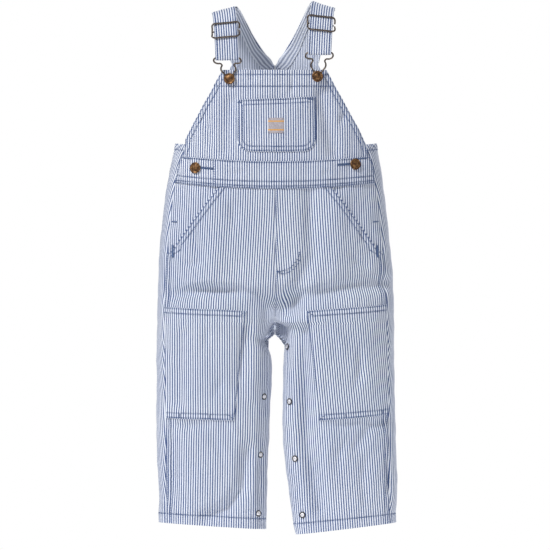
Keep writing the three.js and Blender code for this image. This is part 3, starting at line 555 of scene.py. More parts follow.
def body_point(side, place, height):
    """Points of the smooth body.

    place runs from 0 at the centre front or inseam, past 0.5 at the side, to 1 at the centre back, and a
    little beyond under the placket.
    """
    place, height = together(place, height)
    name = SIDE_NAMES[side]
    outer = look(SECTIONS, "outer_" + name, height)
    front, back = look(SECTIONS, "front", height), look(SECTIONS, "back", height)
    is_front = place <= 0.5
    crotch = np.where(is_front, CROTCH_FRONT, CROTCH_BACK)
    curve = np.where(is_front, FRONT_RISE_CURVE, BACK_RISE_CURVE)
    leg_share = smooth((crotch + curve - height) / curve)
    opening = np.where(is_front, *CROTCH_OPENING[side])
    parted = np.sqrt(np.clip((crotch - height) / opening, 0, 1))
    amount, gape_height, gape_reach = CROTCH_SPREAD[side]
    spread = np.where(is_front, amount * np.exp(-(((height - gape_height) / gape_reach) ** 2)), 0)
    inner = (look(SECTIONS, "inner_" + name, height) + spread) * parted

    half = np.pi * np.minimum(place, 1)
    hip_x = outer * power(np.sin(half))
    hip_y = -power(np.cos(half)) * np.where(np.cos(half) > 0, front, back)
    turn = 2 * np.pi * place
    leg_x = (outer + inner) / 2 - (outer - inner) / 2 * power(np.cos(turn))
    leg_depth = np.where(np.sin(turn) > 0, front, back)
    leg_y = -power(np.sin(turn)) * leg_depth - INSEAM_FORWARD * (1 + np.cos(turn)) / 2

    x = mix(hip_x, leg_x, leg_share)
    y = mix(hip_y, leg_y, leg_share)
    lift = look(SIDE_LIFT, "lift", height) * (x / outer) ** 2
    across = (x - (outer + inner) / 2) / (outer - inner)
    tilt = HEM_TILT[side] * np.exp(-np.maximum(0, height) / HEM_TILT_FADE) * across
    return np.stack([side * x, y, height + lift + tilt], axis=-1)


def shoulder_point(side, x, along):
    """Points of the shoulder arm or strap, along counting from the top of the back over the shoulder."""
    x, along = together(x, along)
    strap = STRAPS[side]
    angle = np.pi * along / ARCH_LENGTH
    sine, cosine = np.sin(angle), np.cos(angle)
    rise = strap["top"] - BACK_PLANE_TOP
    middle = mix(strap["apex"], strap["foot"], np.clip((along - APEX_ALONG) / APEX_ALONG, 0, 1))
    reach = np.clip(x / TOP_OUTER, 0, 1)
    roundness = 1 - (1 - reach**SQUARENESS) ** (1 / SQUARENESS)
    flatten = np.where(cosine > 0, cosine * roundness * ARCH_HALF, 0)
    y = ARCH_MIDDLE + ARCH_HALF * power(cosine) - flatten
    slope = SHOULDER_SLOPE * (x - middle) * sine**2
    return np.stack([side * x, y, BACK_PLANE_TOP + rise * power(sine) - slope], axis=-1)


def garment_point(side, place, height):
    """The whole garment as one surface: height up to the shoulder arms, then the way along them."""
    place, height = together(place, height)
    point = body_point(side, place, height)
    above = (height > BACK_PLANE_TOP) & (place > 0.5)
    if above.any():
        x = TOP_OUTER * power(np.sin(np.pi * np.minimum(place[above], 1)))
        point[above] = shoulder_point(side, x, height[above] - BACK_PLANE_TOP)
    return point


STEP_PLACE = 0.004
STEP_HEIGHT = 2.0


def normal_of(side, place, height):
    """The outward normal, from the surface on both sides of the point."""
    across = garment_point(side, place + STEP_PLACE, height) - garment_point(side, place - STEP_PLACE, height)
    up = garment_point(side, place, height + STEP_HEIGHT) - garment_point(side, place, height - STEP_HEIGHT)
    return unit(np.cross(across, up)) * side


def surface(side, place, height):
    """Points of the cloth's outer face with its folds, and their outward normals."""
    place, height = together(place, height)
    point = garment_point(side, place, height)
    normal = normal_of(side, place, height)
    span_cleft(side, point, normal, place, height)
    wrapped = smooth((place - 0.955) / 0.04) * smooth((CROTCH_BACK - height) / 20)
    front_share = np.maximum(smooth((0.53 - place) / 0.06), wrapped)
    fine = bpy.context.scene.overalls_cloth.crease_scale
    x, z = point[..., 0], point[..., 2]
    front = fold_depth(FRONT_FOLDS, x, z) + fine * fold_depth(FRONT_CREASES, x, z)
    back = fold_depth(BACK_FOLDS, x, z) + fine * fold_depth(BACK_CREASES, x, z)
    fold = mix(back, front, front_share) * FOLD_DEPTH + swell(point)
    point = point + normal * fold[..., None]
    inner_edge = body_point(side, 0.0, height)[..., 0]
    wide = look(TURN_IN, "wide", height)
    band = np.clip(wide - np.abs(x - inner_edge), 0, None) * smooth((CROTCH_FRONT - 8 - height) / 20)
    point[..., 1] += look(TURN_IN, SIDE_NAMES[side], height) * band * np.where(place < 0.3, 1, wrapped)
    return point, normal


def span_cleft(side, point, normal, place, height):
    """Above the crotch the two fronts, sewn together, span the cleft between the legs."""
    near = (place < 0.3) & (np.abs(point[..., 0]) < CLEFT_REACH)
    near &= (height > CROTCH_FRONT - 8) & (height < CROTCH_FRONT + FRONT_RISE_CURVE)
    if near.any():
        rise = height[near]
        rim = body_point(side, place_of_x(side, CLEFT_REACH, rise), rise)[:, 1]
        share = np.abs(point[near][:, 0]) / CLEFT_REACH
        spanned = np.minimum(point[near][:, 1], rim + CLEFT_DIP * (1 - share**2))
        weight = smooth((rise - CROTCH_FRONT + 8) / 14)
        point[near, 1] = mix(point[near][:, 1], spanned, weight)
        normal[near] = unit(mix(normal[near], np.array([0.0, -1.0, 0.0]), (weight * (1 - share**4))[:, None]))


def place_of_x(side, x, height, behind=False):
    """The place on the front, or behind, at which a row has a given distance from the centre."""
    x, height = together(x, height)
    low = np.full(x.shape, 0.5 if behind else 0.0)
    high = low + 0.5
    for _ in range(26):
        middle = (low + high) / 2
        reach = garment_point(side, middle, height)[..., 0] * side
        onward = reach > x if behind else reach < x
        low = np.where(onward, middle, low)
        high = np.where(onward, high, middle)
    return (low + high) / 2


def place_on_top(x):
    """The place behind that has a given x at the top of the back and on the shoulder arms."""
    return 1 - np.arcsin(np.clip(unpower(x / TOP_OUTER), -1, 1)) / np.pi


def side_seam(side, height):
    return place_of_x(side, look(SIDE_SEAM, SIDE_NAMES[side], height), height)


def neck_edge(side, along):
    return look(SHOULDER_EDGES, "inner", along) + STRAPS[side]["neck"] * smooth((along - NECK_POINT) / 20)


class Girth:
    """Lengths round one half of the garment at a list of heights, counted from the centre front or inseam."""

    def __init__(self, side, heights):
        self.side = side
        self.heights = np.atleast_1d(np.asarray(heights, float))
        self.places = np.linspace(-0.02, 1.06, 433)
        points = garment_point(side, self.places[None, :], self.heights[:, None])
        steps = np.linalg.norm(np.diff(points, axis=1), axis=-1)
        self.lengths = np.pad(np.cumsum(steps, axis=1), ((0, 0), (1, 0)))
        self.lengths -= self.length_at(np.zeros(len(self.heights)))[:, None]

    def length_at(self, places):
        return np.array([np.interp(p, self.places, row) for p, row in zip(places, self.lengths)])

    def place_at(self, lengths):
        return np.array([np.interp(s, row, self.places) for s, row in zip(lengths, self.lengths)])

    def length_of_x(self, x, behind=False):
        return self.length_at(place_of_x(self.side, x, self.heights, behind))

    def grain(self, behind=False):
        return self.length_of_x(look(GRAIN, SIDE_NAMES[self.side], self.heights), behind)

    def points(self, lengths):
        """Points and normals of the cloth at lengths round each row."""
        return surface(self.side, self.place_at(lengths), self.heights[:, None])


class FrontSpan:
    """Both halves of the front as one piece: lengths are below 0 on the wearer's right."""

    def __init__(self, heights):
        self.heights = np.atleast_1d(np.asarray(heights, float))
        self.halves = {side: Girth(side, self.heights) for side in (-1, 1)}

    def length_of_x(self, side, x):
        return side * self.halves[side].length_of_x(x)

    def points(self, lengths):
        right_point, right_normal = self.halves[-1].points(np.maximum(-lengths, 0))
        left_point, left_normal = self.halves[1].points(np.maximum(lengths, 0))
        is_left = (lengths > 0)[..., None]
        return np.where(is_left, left_point, right_point), np.where(is_left, left_normal, right_normal)


def insets(*rows):
    """Distances from an edge at which the grid has a line: close at the rounded edge and at each sewn row."""
    marks = [0, 0.1, 0.3, EDGE_RADIUS, 1.25]
    for row in rows:
        marks += [row - 0.75, row - 0.25, row + 0.25, row + 0.75]
    marks = sorted(marks + [max(rows, default=1.25) + 2.4])
    kept = [0.0]
    for mark in marks:
        if mark - kept[-1] > 0.09:
            steps = math.ceil((mark - kept[-1]) / 2.3)
            kept += list(np.linspace(kept[-1], mark, steps + 1)[1:])
    return np.array(kept)


def graded(low, high, low_insets, high_insets, step):
    """Values from low to high, close together at each end and evenly spaced between."""
    first, last = low + low_insets[-1], high - high_insets[-1]
    between = np.linspace(first, last, max(2, math.ceil((last - first) / step) + 1))
    return np.concatenate([low + low_insets[:-1], between, (high - high_insets[:-1])[::-1]])


def columns(left, right, width, step):
    """Columns of a grid as insets from its left and right edges and a share of what lies between."""
    count = max(1, math.ceil((width - left[-1] - right[-1]) / step))
    between = np.arange(count + 1) / count
    from_left = np.concatenate([left[:-1], np.full(count + 1, left[-1]), np.zeros(len(right) - 1)])
    from_right = np.concatenate([np.zeros(len(left) - 1), np.full(count + 1, right[-1]), right[:-1][::-1]])
    share = np.concatenate([np.zeros(len(left) - 1), between, np.ones(len(right) - 1)])
    return from_left, from_right, share


def spread(grid, left, right, left_slant=1.0, right_slant=1.0):
    """Lengths of each column on each row, with the insets at their true distance from a slanting edge."""
    from_left, from_right, share = grid
    needed = from_left.max() * left_slant + from_right.max() * right_slant + 1
    narrow = np.minimum(1, (right - left) / needed)
    low = left[:, None] + from_left * (left_slant * narrow)[:, None]
    high = right[:, None] - from_right * (right_slant * narrow)[:, None]
    return mix(low, high, share)


def slant(heights, edge, upright):
    """How much longer a step round the row is than the distance from a slanting edge."""
    return np.sqrt(1 + np.gradient(edge - upright, heights) ** 2)


def rounding(distance):
    """How far each face draws in at the turned edge."""
    t = np.clip(1 - distance / EDGE_RADIUS, 0, 1)
    return (CLOTH / 2 - 0.1) * (1 - np.sqrt(1 - t * t))


def hem(distance, along, rows, band=True):
    """Relief of a turned edge: the band stands proud, and each sewn row draws in with small puckers."""
    last = rows[-1]
    rise = BAND_RISE * smooth((last + 0.6 - distance) / 1.3) if band else 0
    drawn = sum(GROOVE * np.exp(-(((distance - row) / 0.6) ** 2)) for row in rows)
    skewed = along + 0.8 * distance
    drift = 1.6 * np.sin(2 * np.pi * skewed / PUCKER["drift"])
    wave = np.sin(2 * np.pi * skewed / PUCKER["pitch"] + drift)
    return rise - drawn + PUCKER["depth"] * wave * np.exp(-(((distance - last) / PUCKER["reach"]) ** 2))


def from_rows(distance, rows):
    """Distance to the nearest sewn row."""
    return np.min([np.abs(distance - row) for row in rows], axis=0)


def lengths_along(points):
    """How far along a line of points each one lies."""
    return np.concatenate([[0], np.cumsum(np.linalg.norm(np.diff(points, axis=0), axis=1))])


def on_rows(heights, lengths):
    """The height of each point of a grid."""
    return np.broadcast_to(heights[:, None], lengths.shape)


def add(name, data):
    """A new object in the scene."""
    piece = bpy.data.objects.new(name, data)
    bpy.context.scene.collection.objects.link(piece)
    return piece


def smooth_mesh(name, points, faces):
    """A smooth mesh from points in millimetres."""
    mesh = bpy.data.meshes.new(name)
    mesh.from_pydata(((points - (0, 0, SHOULDER_HEIGHT)) * MM).tolist(), [], faces.tolist())
    mesh.polygons.foreach_set("use_smooth", np.ones(len(faces), bool))
    return mesh


def shell(name, outer, inner, uv, seam, cells=None, finishes=("twill", "twill_inside"), keep_side=0):
    """A closed shell of cloth between two grids of points in millimetres."""
    rows, wide = outer.shape[:2]
    cells = np.ones((rows - 1, wide - 1), bool) if cells is None else cells
    ids = np.arange(rows * wide).reshape(rows, wide)
    j, i = np.nonzero(cells)
    a, b, c, d = ids[j, i], ids[j, i + 1], ids[j + 1, i + 1], ids[j + 1, i]
    layer = rows * wide
    front = np.stack([a, b, c, d], axis=1)
    back = np.stack([a, d, c, b], axis=1) + layer
    around = np.pad(cells, 1)
    rims = []
    for p, q, neighbour in (
        (b, a, around[j, i + 1]),
        (c, b, around[j + 1, i + 2]),
        (d, c, around[j + 2, i + 1]),
        (a, d, around[j + 1, i]),
    ):
        p, q = p[~neighbour], q[~neighbour]
        rims.append(np.stack([p, q, q + layer, p + layer], axis=1))
    faces = np.concatenate([front, back, *rims])
    inner_faces = np.zeros(len(faces), int)
    inner_faces[len(front) : 2 * len(front)] = 1
    points = np.concatenate([outer.reshape(-1, 3), inner.reshape(-1, 3)])
    if keep_side:
        points[:, 0] = keep_side * np.maximum(points[:, 0] * keep_side, 0.08)
    used, faces = np.unique(faces, return_inverse=True)
    faces = faces.reshape(-1, 4)
    corner, right, up = (outer.reshape(-1, 3)[k] for k in (a, b, d))
    outward = np.cross(right - corner, up - corner)
    thickness = (outer - inner).reshape(-1, 3)[a]
    if (outward * thickness).sum() < 0:
        faces = faces[:, ::-1]
    mesh = smooth_mesh(name, points[used], faces)
    mesh.polygons.foreach_set("material_index", inner_faces)
    twice = np.concatenate([uv.reshape(-1, 2)] * 2)[used]
    mesh.uv_layers.new(name="cloth").data.foreach_set("uv", twice[faces.ravel()].ravel().astype(np.float32))
    distance = np.concatenate([np.broadcast_to(seam, (rows, wide)).ravel()] * 2)[used]
    mesh.attributes.new("seam", "FLOAT", "POINT").data.foreach_set("value", distance.astype(np.float32))
    mesh.update()
    for finish in finishes:
        mesh.materials.append(finish_of(finish))
    return add(name, mesh)


def sheet_size(outer, cells=None):
    """Width, length and area of the cut that shows, in metres."""
    across = np.linalg.norm(np.diff(outer, axis=1), axis=-1)
    down = np.linalg.norm(np.diff(outer, axis=0), axis=-1)
    one, two = outer[1:, 1:] - outer[:-1, :-1], outer[1:, :-1] - outer[:-1, 1:]
    areas = np.linalg.norm(np.cross(one, two), axis=-1) / 2
    if cells is not None:
        areas = areas * cells
        across = across[1:] * cells
    width = math.ceil(across.sum(axis=1).max() + 1) * MM
    length = math.ceil(down.sum(axis=0).max() + 1) * MM
    return (width, length), float(areas.sum()) * MM * MM


def cloth_piece(name, line, outside, inside, uv, seam=NO_ROW, cells=None, slot="twill", **more):
    """A shell between two offsets from a grid of (points, normals); the size of the cut that shows is worked
    out but not used.
    """
    point, normal = line
    outer, inner = (point + normal * offset[..., None] for offset in (outside, inside))
    piece = shell(name, outer, inner, np.stack(together(*uv), axis=-1), seam, cells, **more)
    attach(piece, BODY)
    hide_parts(name)
    flat, area = sheet_size(outer, cells)
    min(area, flat[0] * flat[1])


STITCH_RINGS = ((-0.5, 0.0, -0.35), (-0.3, 0.85, 0.1), (0.3, 0.85, 0.1), (0.5, 0.0, -0.35))


def stitch_shape():
    """One stitch, 1 long and 1 wide: a rice grain whose ends dip into the cloth."""
    points, faces = [], []
    for along, size, lift in STITCH_RINGS:
        if size == 0:
            points.append((along, 0, lift))
        else:
            for corner in range(4):
                angle = math.pi * (corner / 2 + 0.25)
                points.append((along, size * math.cos(angle) * 0.6, lift + size * math.sin(angle) * 0.5))
    for k in range(4):
        after = (k + 1) % 4
        faces.append((0, 1 + after, 1 + k))
        faces.append((1 + k, 1 + after, 5 + after))
        faces.append((1 + k, 5 + after, 5 + k))
        faces.append((5 + k, 5 + after, 9))
    return np.array(points), np.array(faces)


def run(line, lift=0.12, pitch=None, length=None, width=None, crosswise=False):
    """Stitches along a line of (points, normals): centre, direction, normal, length and width of each."""
    cloth = bpy.context.scene.overalls_cloth
    pitch = pitch or cloth.stitch_pitch / MM
    width = width or cloth.thread_width / MM
    length = length or pitch * 0.84
    points, normals = (np.asarray(part, float).reshape(-1, 3) for part in line)
    along = lengths_along(points)
    count = max(1, int(along[-1] / pitch))
    at = (np.arange(count) + 0.5) * along[-1] / count

    def sample(values, where):
        return np.stack([np.interp(where, along, values[:, k]) for k in range(3)], axis=1)

    centre, normal = sample(points, at), unit(sample(normals, at))
    ahead = sample(points, np.minimum(at + 0.4, along[-1])) - sample(points, np.maximum(at - 0.4, 0))
    direction = unit(ahead - normal * (ahead * normal).sum(axis=1, keepdims=True))
    if crosswise:
        direction = np.cross(normal, direction)
    return centre + normal * lift, direction, normal, np.full(count, length), np.full(count, width)


def sew(name, runs):
    """All the stitches of one piece as one mesh."""
    centre, direction, normal, length, width = (np.concatenate(part) for part in zip(*runs))
    shape, faces = stitch_shape()
    across = np.cross(normal, direction)
    points = (
        centre[:, None]
        + shape[None, :, :1] * (direction * length[:, None])[:, None]
        + shape[None, :, 1:2] * (across * width[:, None])[:, None]
        + shape[None, :, 2:] * (normal * width[:, None])[:, None]
    )
    all_faces = (faces[None] + (np.arange(len(centre)) * len(shape))[:, None, None]).reshape(-1, 3)
    mesh = smooth_mesh(name, points.reshape(-1, 3), all_faces)
    mesh.materials.append(finish_of("thread"))
    piece = add(name, mesh)
    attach(piece, BODY)


def bartack(side, x, height, reach, upright, lift=0.3, width=2.2):
    """A close bar of satin stitches on the front, reach millimetres long."""
    steps = np.linspace(-reach / 2, reach / 2, 9)
    xs = x + (0 if upright else 1) * steps
    heights = height + (1 if upright else 0) * steps
    line = surface(side, place_of_x(side, xs, heights), heights)
    return run(line, lift, pitch=0.5, length=width, width=0.7, crosswise=True)


def front_leg_edges(girth):
    """Where a front leg starts and ends on each row: centre seam or inseam, and side seam or pocket mouth."""
    heights = girth.heights
    seam = girth.length_at(side_seam(girth.side, heights))
    fall = np.clip((WAIST_SEAM - heights) / (WAIST_SEAM - POCKET_MOUTH["foot"]), -0.1, 1)
    mouth = girth.length_of_x(mix(POCKET_MOUTH["top_x"], POCKET_MOUTH["foot_x"], fall))
    share = smooth((heights - POCKET_MOUTH["foot"] + POCKET_MOUTH["turn"]) / POCKET_MOUTH["turn"])
    return np.full(len(heights), 0.1), mix(seam - 0.1, np.minimum(mouth, seam - 0.1), share)


def mouth_gape(girth, distance):
    """The pocket's mouth stands a little off the hip."""
    middle = (WAIST_SEAM + POCKET_MOUTH["foot"]) / 2
    tall = np.exp(-(((girth.heights - middle) / MOUTH_GAPE["tall"]) ** 2))[:, None]
    return MOUTH_GAPE["depth"] * tall * np.exp(-((distance / MOUTH_GAPE["reach"]) ** 2))


def front_leg(side):
    heights = graded(HEM[side], WAIST_SEAM + 3, insets(HEM_ROW), np.array([0.0, 1.5]), GRID)
    girth = Girth(side, heights)
    left, right = front_leg_edges(girth)
    right_slant = slant(heights, right, girth.grain())
    grid = columns(insets(FRONT_EDGE_ROW), insets(*SEAM_ROWS), 190, GRID)
    lengths = spread(grid, left, right, right_slant=right_slant)
    rise = on_rows(heights, lengths)
    from_left = lengths - left[:, None]
    from_right = (right[:, None] - lengths) / right_slant[:, None]
    from_hem = rise - HEM[side]
    off_hem = smooth((from_hem - 6) / 8)
    low = smooth((CROTCH_FRONT - 12 - rise) / 16)
    joined = smooth((rise - CROTCH_FRONT) / 6)
    offset = hem(from_hem, lengths, (HEM_ROW,)) - CENTRE_GROOVE * joined * np.exp(-((from_left / 1.1) ** 2))
    offset = offset + hem(from_right, rise, SEAM_ROWS) * off_hem
    offset = offset + 0.6 * low * hem(from_left, rise, (FRONT_EDGE_ROW,)) * off_hem
    offset = offset + mouth_gape(girth, from_right)
    edge = rounding(np.minimum(np.minimum(from_left + EDGE_RADIUS * joined, from_right), from_hem))
    inside = np.minimum(offset, 0.1) - CLOTH + edge
    uv = lengths - girth.grain()[:, None] + 80, rise
    seam = np.minimum(from_rows(from_hem, (HEM_ROW,)), from_rows(from_right, SEAM_ROWS))
    seam = np.minimum(seam, from_left + 3 * (1 - joined))
    name = "front_leg_" + SIDE_NAMES[side]
    cloth_piece(name, girth.points(lengths), offset - edge, inside, uv, seam, keep_side=side)


def line_at(girth, lengths, lift=0.0):
    """A line of points that takes one length on each row."""
    point, normal = girth.points(lengths[:, None])
    return (point + normal * lift)[:, 0], normal[:, 0]


def row_line(side, height, first, last, lift=0.0):
    """A line of points along one row, between two lengths."""
    girth = Girth(side, [height])
    point, normal = girth.points(np.linspace(first, last, 90)[None])
    return (point + normal * lift)[0], normal[0]


def front_leg_sewing(side):
    top = Girth(side, np.linspace(HEM[side] + 1.5, WAIST_SEAM - 1.5, 220))
    _, right = front_leg_edges(top)
    right_slant = slant(top.heights, right, top.grain())
    gape = mouth_gape(top, np.zeros((1, 1)))[:, 0]
    shown = top.heights > POCKET_MOUTH["foot"] - 2
    for row in SEAM_ROWS:
        line = line_at(top, right - row * right_slant, 0.05)
        lifted = line[0] + line[1] * gape[:, None]
        yield run((lifted[shown], line[1][shown]))
        yield run((lifted[~shown], line[1][~shown]))
    low = Girth(side, [HEM[side] + HEM_ROW])
    first, last = front_leg_edges(low)
    yield run(row_line(side, HEM[side] + HEM_ROW, first[0] + 1, last[0] - 1, 0.05))
    yield bartack(side, POCKET_MOUTH["foot_x"] + 4, POCKET_MOUTH["foot"] - 8, 15, True, 0.5, 4.2)
    yield bartack(side, 130.5, 400, 6.5, False, 0.4, 1.8)


FLY_CURVE = ((31.5, 366), (30.2, 358.5), (21, 346.5), (12, 342), (2.5, 341))
FLY_ROWS = 3.6


def fly_sewing():
    """The two curved rows that close the fly, the bar at their foot and the row beside the centre seam."""
    points = np.array(FLY_CURVE, float)
    t = np.linspace(0, len(points) - 1, 40)
    knots = {"height": np.arange(len(points), dtype=float), "x": points[:, 0], "z": points[:, 1]}
    x, z = look(knots, "x", t), look(knots, "z", t)
    for shift in (0, 1):
        xs = x + shift * FLY_ROWS * 0.55
        zs = z - shift * FLY_ROWS
        yield run(surface(1, place_of_x(1, xs, zs), zs), 0.5, pitch=2.3, width=1.25)
    yield bartack(1, 4.6, 340, 6, False, 0.35, 2.0)
    heights = np.linspace(CROTCH_FRONT + 8, WAIST_SEAM - 3, 80)
    yield run(line_at(Girth(1, heights), np.full(80, 1.9)), 0.2)


def back_edges(girth):
    """The side seam, and the back's edges: under the front, up into the armhole, at the centre or neck."""
    side, heights = girth.side, girth.heights
    low = np.minimum(heights, BACK_SIDE_TOP)
    under = smooth((BACK_SIDE_TOP - 3 - heights) / 8)
    seam = girth.length_at(side_seam(side, low))
    left = seam + 0.1 - 7 * under
    leg = smooth((CROTCH_BACK - 26 - heights) / 22)
    along = heights - BACK_PLANE_TOP
    neck = np.where(along > NECK_POINT, place_on_top(neck_edge(side, along)), 1)
    centre = girth.length_at(np.where(heights < 400, 1 + UNDERLAP * leg, neck)) - 0.1
    arms = place_on_top(look(SHOULDER_EDGES, "outer", along))
    armhole = girth.length_at(np.where(along > 0, arms, look(ARMHOLE_EDGE, "place", heights)))
    corner = Girth(side, [BACK_SIDE_TOP])
    ends = corner.length_at([side_seam(side, [BACK_SIDE_TOP])[0]])[0], corner.length_at([1.0])[0]
    share = (corner.length_at([ARMHOLE_EDGE["place"][0]])[0] - ends[0]) / (ends[1] - ends[0])
    split = np.where(heights > BACK_SIDE_TOP, armhole, mix(left, centre, share))
    return seam, left, split, centre


def back_sink(girth, lengths, seam):
    """How far the back goes under the front at the side seam and at the snapped inseam."""
    heights = girth.heights[:, None]
    place = girth.place_at(lengths)
    placket = smooth((place - 0.945) / 0.045) * smooth((CROTCH_BACK - 4 - heights) / 20)
    at_side = smooth((seam[:, None] + 4 - lengths) / 5) * smooth((BACK_SIDE_TOP - 3 - heights) / 8)
    return -(LAYER + 0.35) * placket - (LAYER + 0.25) * at_side


def back(side):
    low = graded(HEM[side], BACK_SIDE_TOP, insets(HEM_ROW), insets(ARMHOLE_ROW), BACK_GRID)
    middle = np.linspace(BACK_SIDE_TOP, BACK_PLANE_TOP + NECK_POINT, 37)[1:]
    top = BACK_PLANE_TOP + np.concatenate([[-2.2, -1, 0.5], np.linspace(2.5, BACK_TOP_ALONG, 38)])
    heights = np.concatenate([low, middle, top])
    girth = Girth(side, heights)
    seam, left, split, centre = back_edges(girth)
    upright = girth.grain(behind=True)
    is_high = heights > BACK_SIDE_TOP
    split_slant = np.where(is_high, slant(heights, split, upright), 1)
    centre_slant = np.where(heights > BACK_PLANE_TOP + NECK_POINT - 1, slant(heights, centre, upright), 1)
    side_grid = columns(insets(3.2), np.array([0.0, 2.5]), 90, GATHER["pitch"] / 4)
    main_grid = columns(insets(ARMHOLE_ROW), insets(*SEAM_ROWS), 110, BACK_GRID)
    side_lengths = spread(side_grid, left, np.maximum(split, left + 8))
    slants = np.minimum(split_slant, STEEPEST["armhole"]), np.minimum(centre_slant, STEEPEST["neck"])
    main_lengths = spread(main_grid, split, centre, *slants)
    side_lengths[is_high] = split[is_high, None]
    lengths = np.concatenate([side_lengths[:, :-1], main_lengths], axis=1)
    rise = on_rows(heights, lengths)

    below = np.maximum(BACK_SIDE_TOP - rise, 0)
    inward = np.maximum(lengths - split[:, None], 0) / split_slant[:, None]
    from_armhole = np.where(is_high[:, None], inward, np.hypot(inward, below))
    from_left = np.where(is_high[:, None], 99, lengths - left[:, None])
    from_centre = (centre[:, None] - lengths) / centre_slant[:, None]
    from_hem = rise - HEM[side]
    off_hem = smooth((from_hem - 6) / 8)
    seated = smooth((CROTCH_BACK + 10 - rise) / 10)
    offset = hem(from_hem, lengths, (HEM_ROW,)) + hem(from_armhole, lengths + rise, (ARMHOLE_ROW,))
    offset = offset + hem(from_centre, rise, SEAM_ROWS) * off_hem * (1 - seated)
    offset = offset + back_sink(girth, lengths, seam)
    turn = 2 * np.pi * lengths
    ribs = np.sin(turn / GATHER["pitch"] + 1.5 * np.sin(turn / GATHER["drift"]))
    under_arm = smooth((split[:, None] + 4 - lengths) / 8)
    offset = offset + GATHER["depth"] * ribs * under_arm * np.exp(-((below / GATHER["reach"]) ** 4))
    edge = rounding(np.minimum(np.minimum(from_left, from_armhole), np.minimum(from_centre, from_hem)))
    uv = lengths - upright[:, None] + 80, rise
    rows = np.minimum(from_rows(from_hem, (HEM_ROW,)), from_rows(from_armhole, (ARMHOLE_ROW,)))
    cells = np.ones((len(heights) - 1, lengths.shape[1] - 1), bool)
    at_side = np.arange(cells.shape[1]) < side_lengths.shape[1] - 1
    cells[np.ix_(heights[:-1] >= BACK_SIDE_TOP, at_side)] = False
    name = "back_" + SIDE_NAMES[side]
    inside = offset - CLOTH + edge
    cloth_piece(name, girth.points(lengths), offset - edge, inside, uv, rows, cells, keep_side=side)


def back_sewing(side):
    low = Girth(side, [HEM[side] + HEM_ROW])
    _, left, _, centre = back_edges(low)
    yield run(row_line(side, HEM[side] + HEM_ROW, left[0] + 9, centre[0] - 14))
    high = Girth(side, [BACK_SIDE_TOP - ARMHOLE_ROW])
    _, left, split, _ = back_edges(high)
    yield run(row_line(side, BACK_SIDE_TOP - ARMHOLE_ROW, left[0] + 1, split[0]))
    heights = np.linspace(BACK_SIDE_TOP - ARMHOLE_ROW + 1, BACK_PLANE_TOP + BACK_TOP_ALONG - 1, 90)
    girth = Girth(side, heights)
    _, _, split, _ = back_edges(girth)
    wide = np.minimum(slant(heights, split, girth.grain(behind=True)), STEEPEST["armhole"])
    rounded = np.minimum(1, np.maximum(heights - BACK_SIDE_TOP, 0) / ARMHOLE_ROW + 0.1)
    yield run(line_at(girth, split + ARMHOLE_ROW * wide * rounded))
    heights = np.linspace(CROTCH_BACK + 14, BACK_PLANE_TOP + NECK_POINT - 44, 160)
    girth = Girth(side, heights)
    _, _, _, centre = back_edges(girth)
    for row in SEAM_ROWS:
        yield run(line_at(girth, centre - row))


def bib_half(side, heights):
    seam = body_point(side, side_seam(side, heights) - 0.002, heights)[..., 0] * side
    return np.minimum(look(BIB_SIDE, "half", heights) + BIB_EASE - side * BIB_EASE, seam)


def bib_edges(span):
    left = span.length_of_x(-1, bib_half(-1, span.heights))
    return left, span.length_of_x(1, bib_half(1, span.heights))


def bib():
    heights = graded(BIB_SEAM - 3, BIB_TOP, np.array([0.0, 1.5]), insets(*BIB_TOP_ROWS), GRID)
    span = FrontSpan(heights)
    left, right = bib_edges(span)
    left_slant, right_slant = slant(heights, left, 0), slant(heights, right, 0)
    grid = columns(insets(*SEAM_ROWS), insets(*SEAM_ROWS), 200, GRID)
    lengths = spread(grid, left, right, left_slant, right_slant)
    rise = on_rows(heights, lengths)
    from_left = (lengths - left[:, None]) / left_slant[:, None]
    from_right = (right[:, None] - lengths) / right_slant[:, None]
    from_side, from_top = np.minimum(from_left, from_right), BIB_TOP - rise
    above = smooth((from_top - 3) / 5)
    offset = hem(from_side, rise, SEAM_ROWS) * above + hem(from_top, lengths, BIB_TOP_ROWS)
    edge = rounding(np.minimum(from_side, from_top))
    uv = lengths, rise
    seam = np.minimum(from_rows(from_side, SEAM_ROWS), from_rows(from_top, BIB_TOP_ROWS))
    cloth_piece("bib", span.points(lengths), offset - edge, edge - CLOTH, uv, seam)


def bib_sewing():
    span = FrontSpan(np.linspace(BIB_SEAM + 1.5, BIB_TOP - 1.5, 70))
    left, right = bib_edges(span)
    for row in SEAM_ROWS:
        for edge, inward in ((left, 1), (right, -1)):
            lengths = edge + inward * row * slant(span.heights, edge, 0)
            yield run(line_at(span, lengths))
    for row in BIB_TOP_ROWS:
        span = FrontSpan([BIB_TOP - row])
        left, right = bib_edges(span)
        yield run(span.points(np.linspace(left[0] + 1, right[0] - 1, 120)[None]))


def waistband_ends(span):
    right, left = (half.length_at(side_seam(side, span.heights)) - 0.1 for side, half in span.halves.items())
    return -right, left


WAISTBAND_LOW = WAIST_SEAM - 1.6
WAISTBAND_HIGH = BIB_SEAM + 1.2
WAISTBAND_TOP_ROW = 1.6


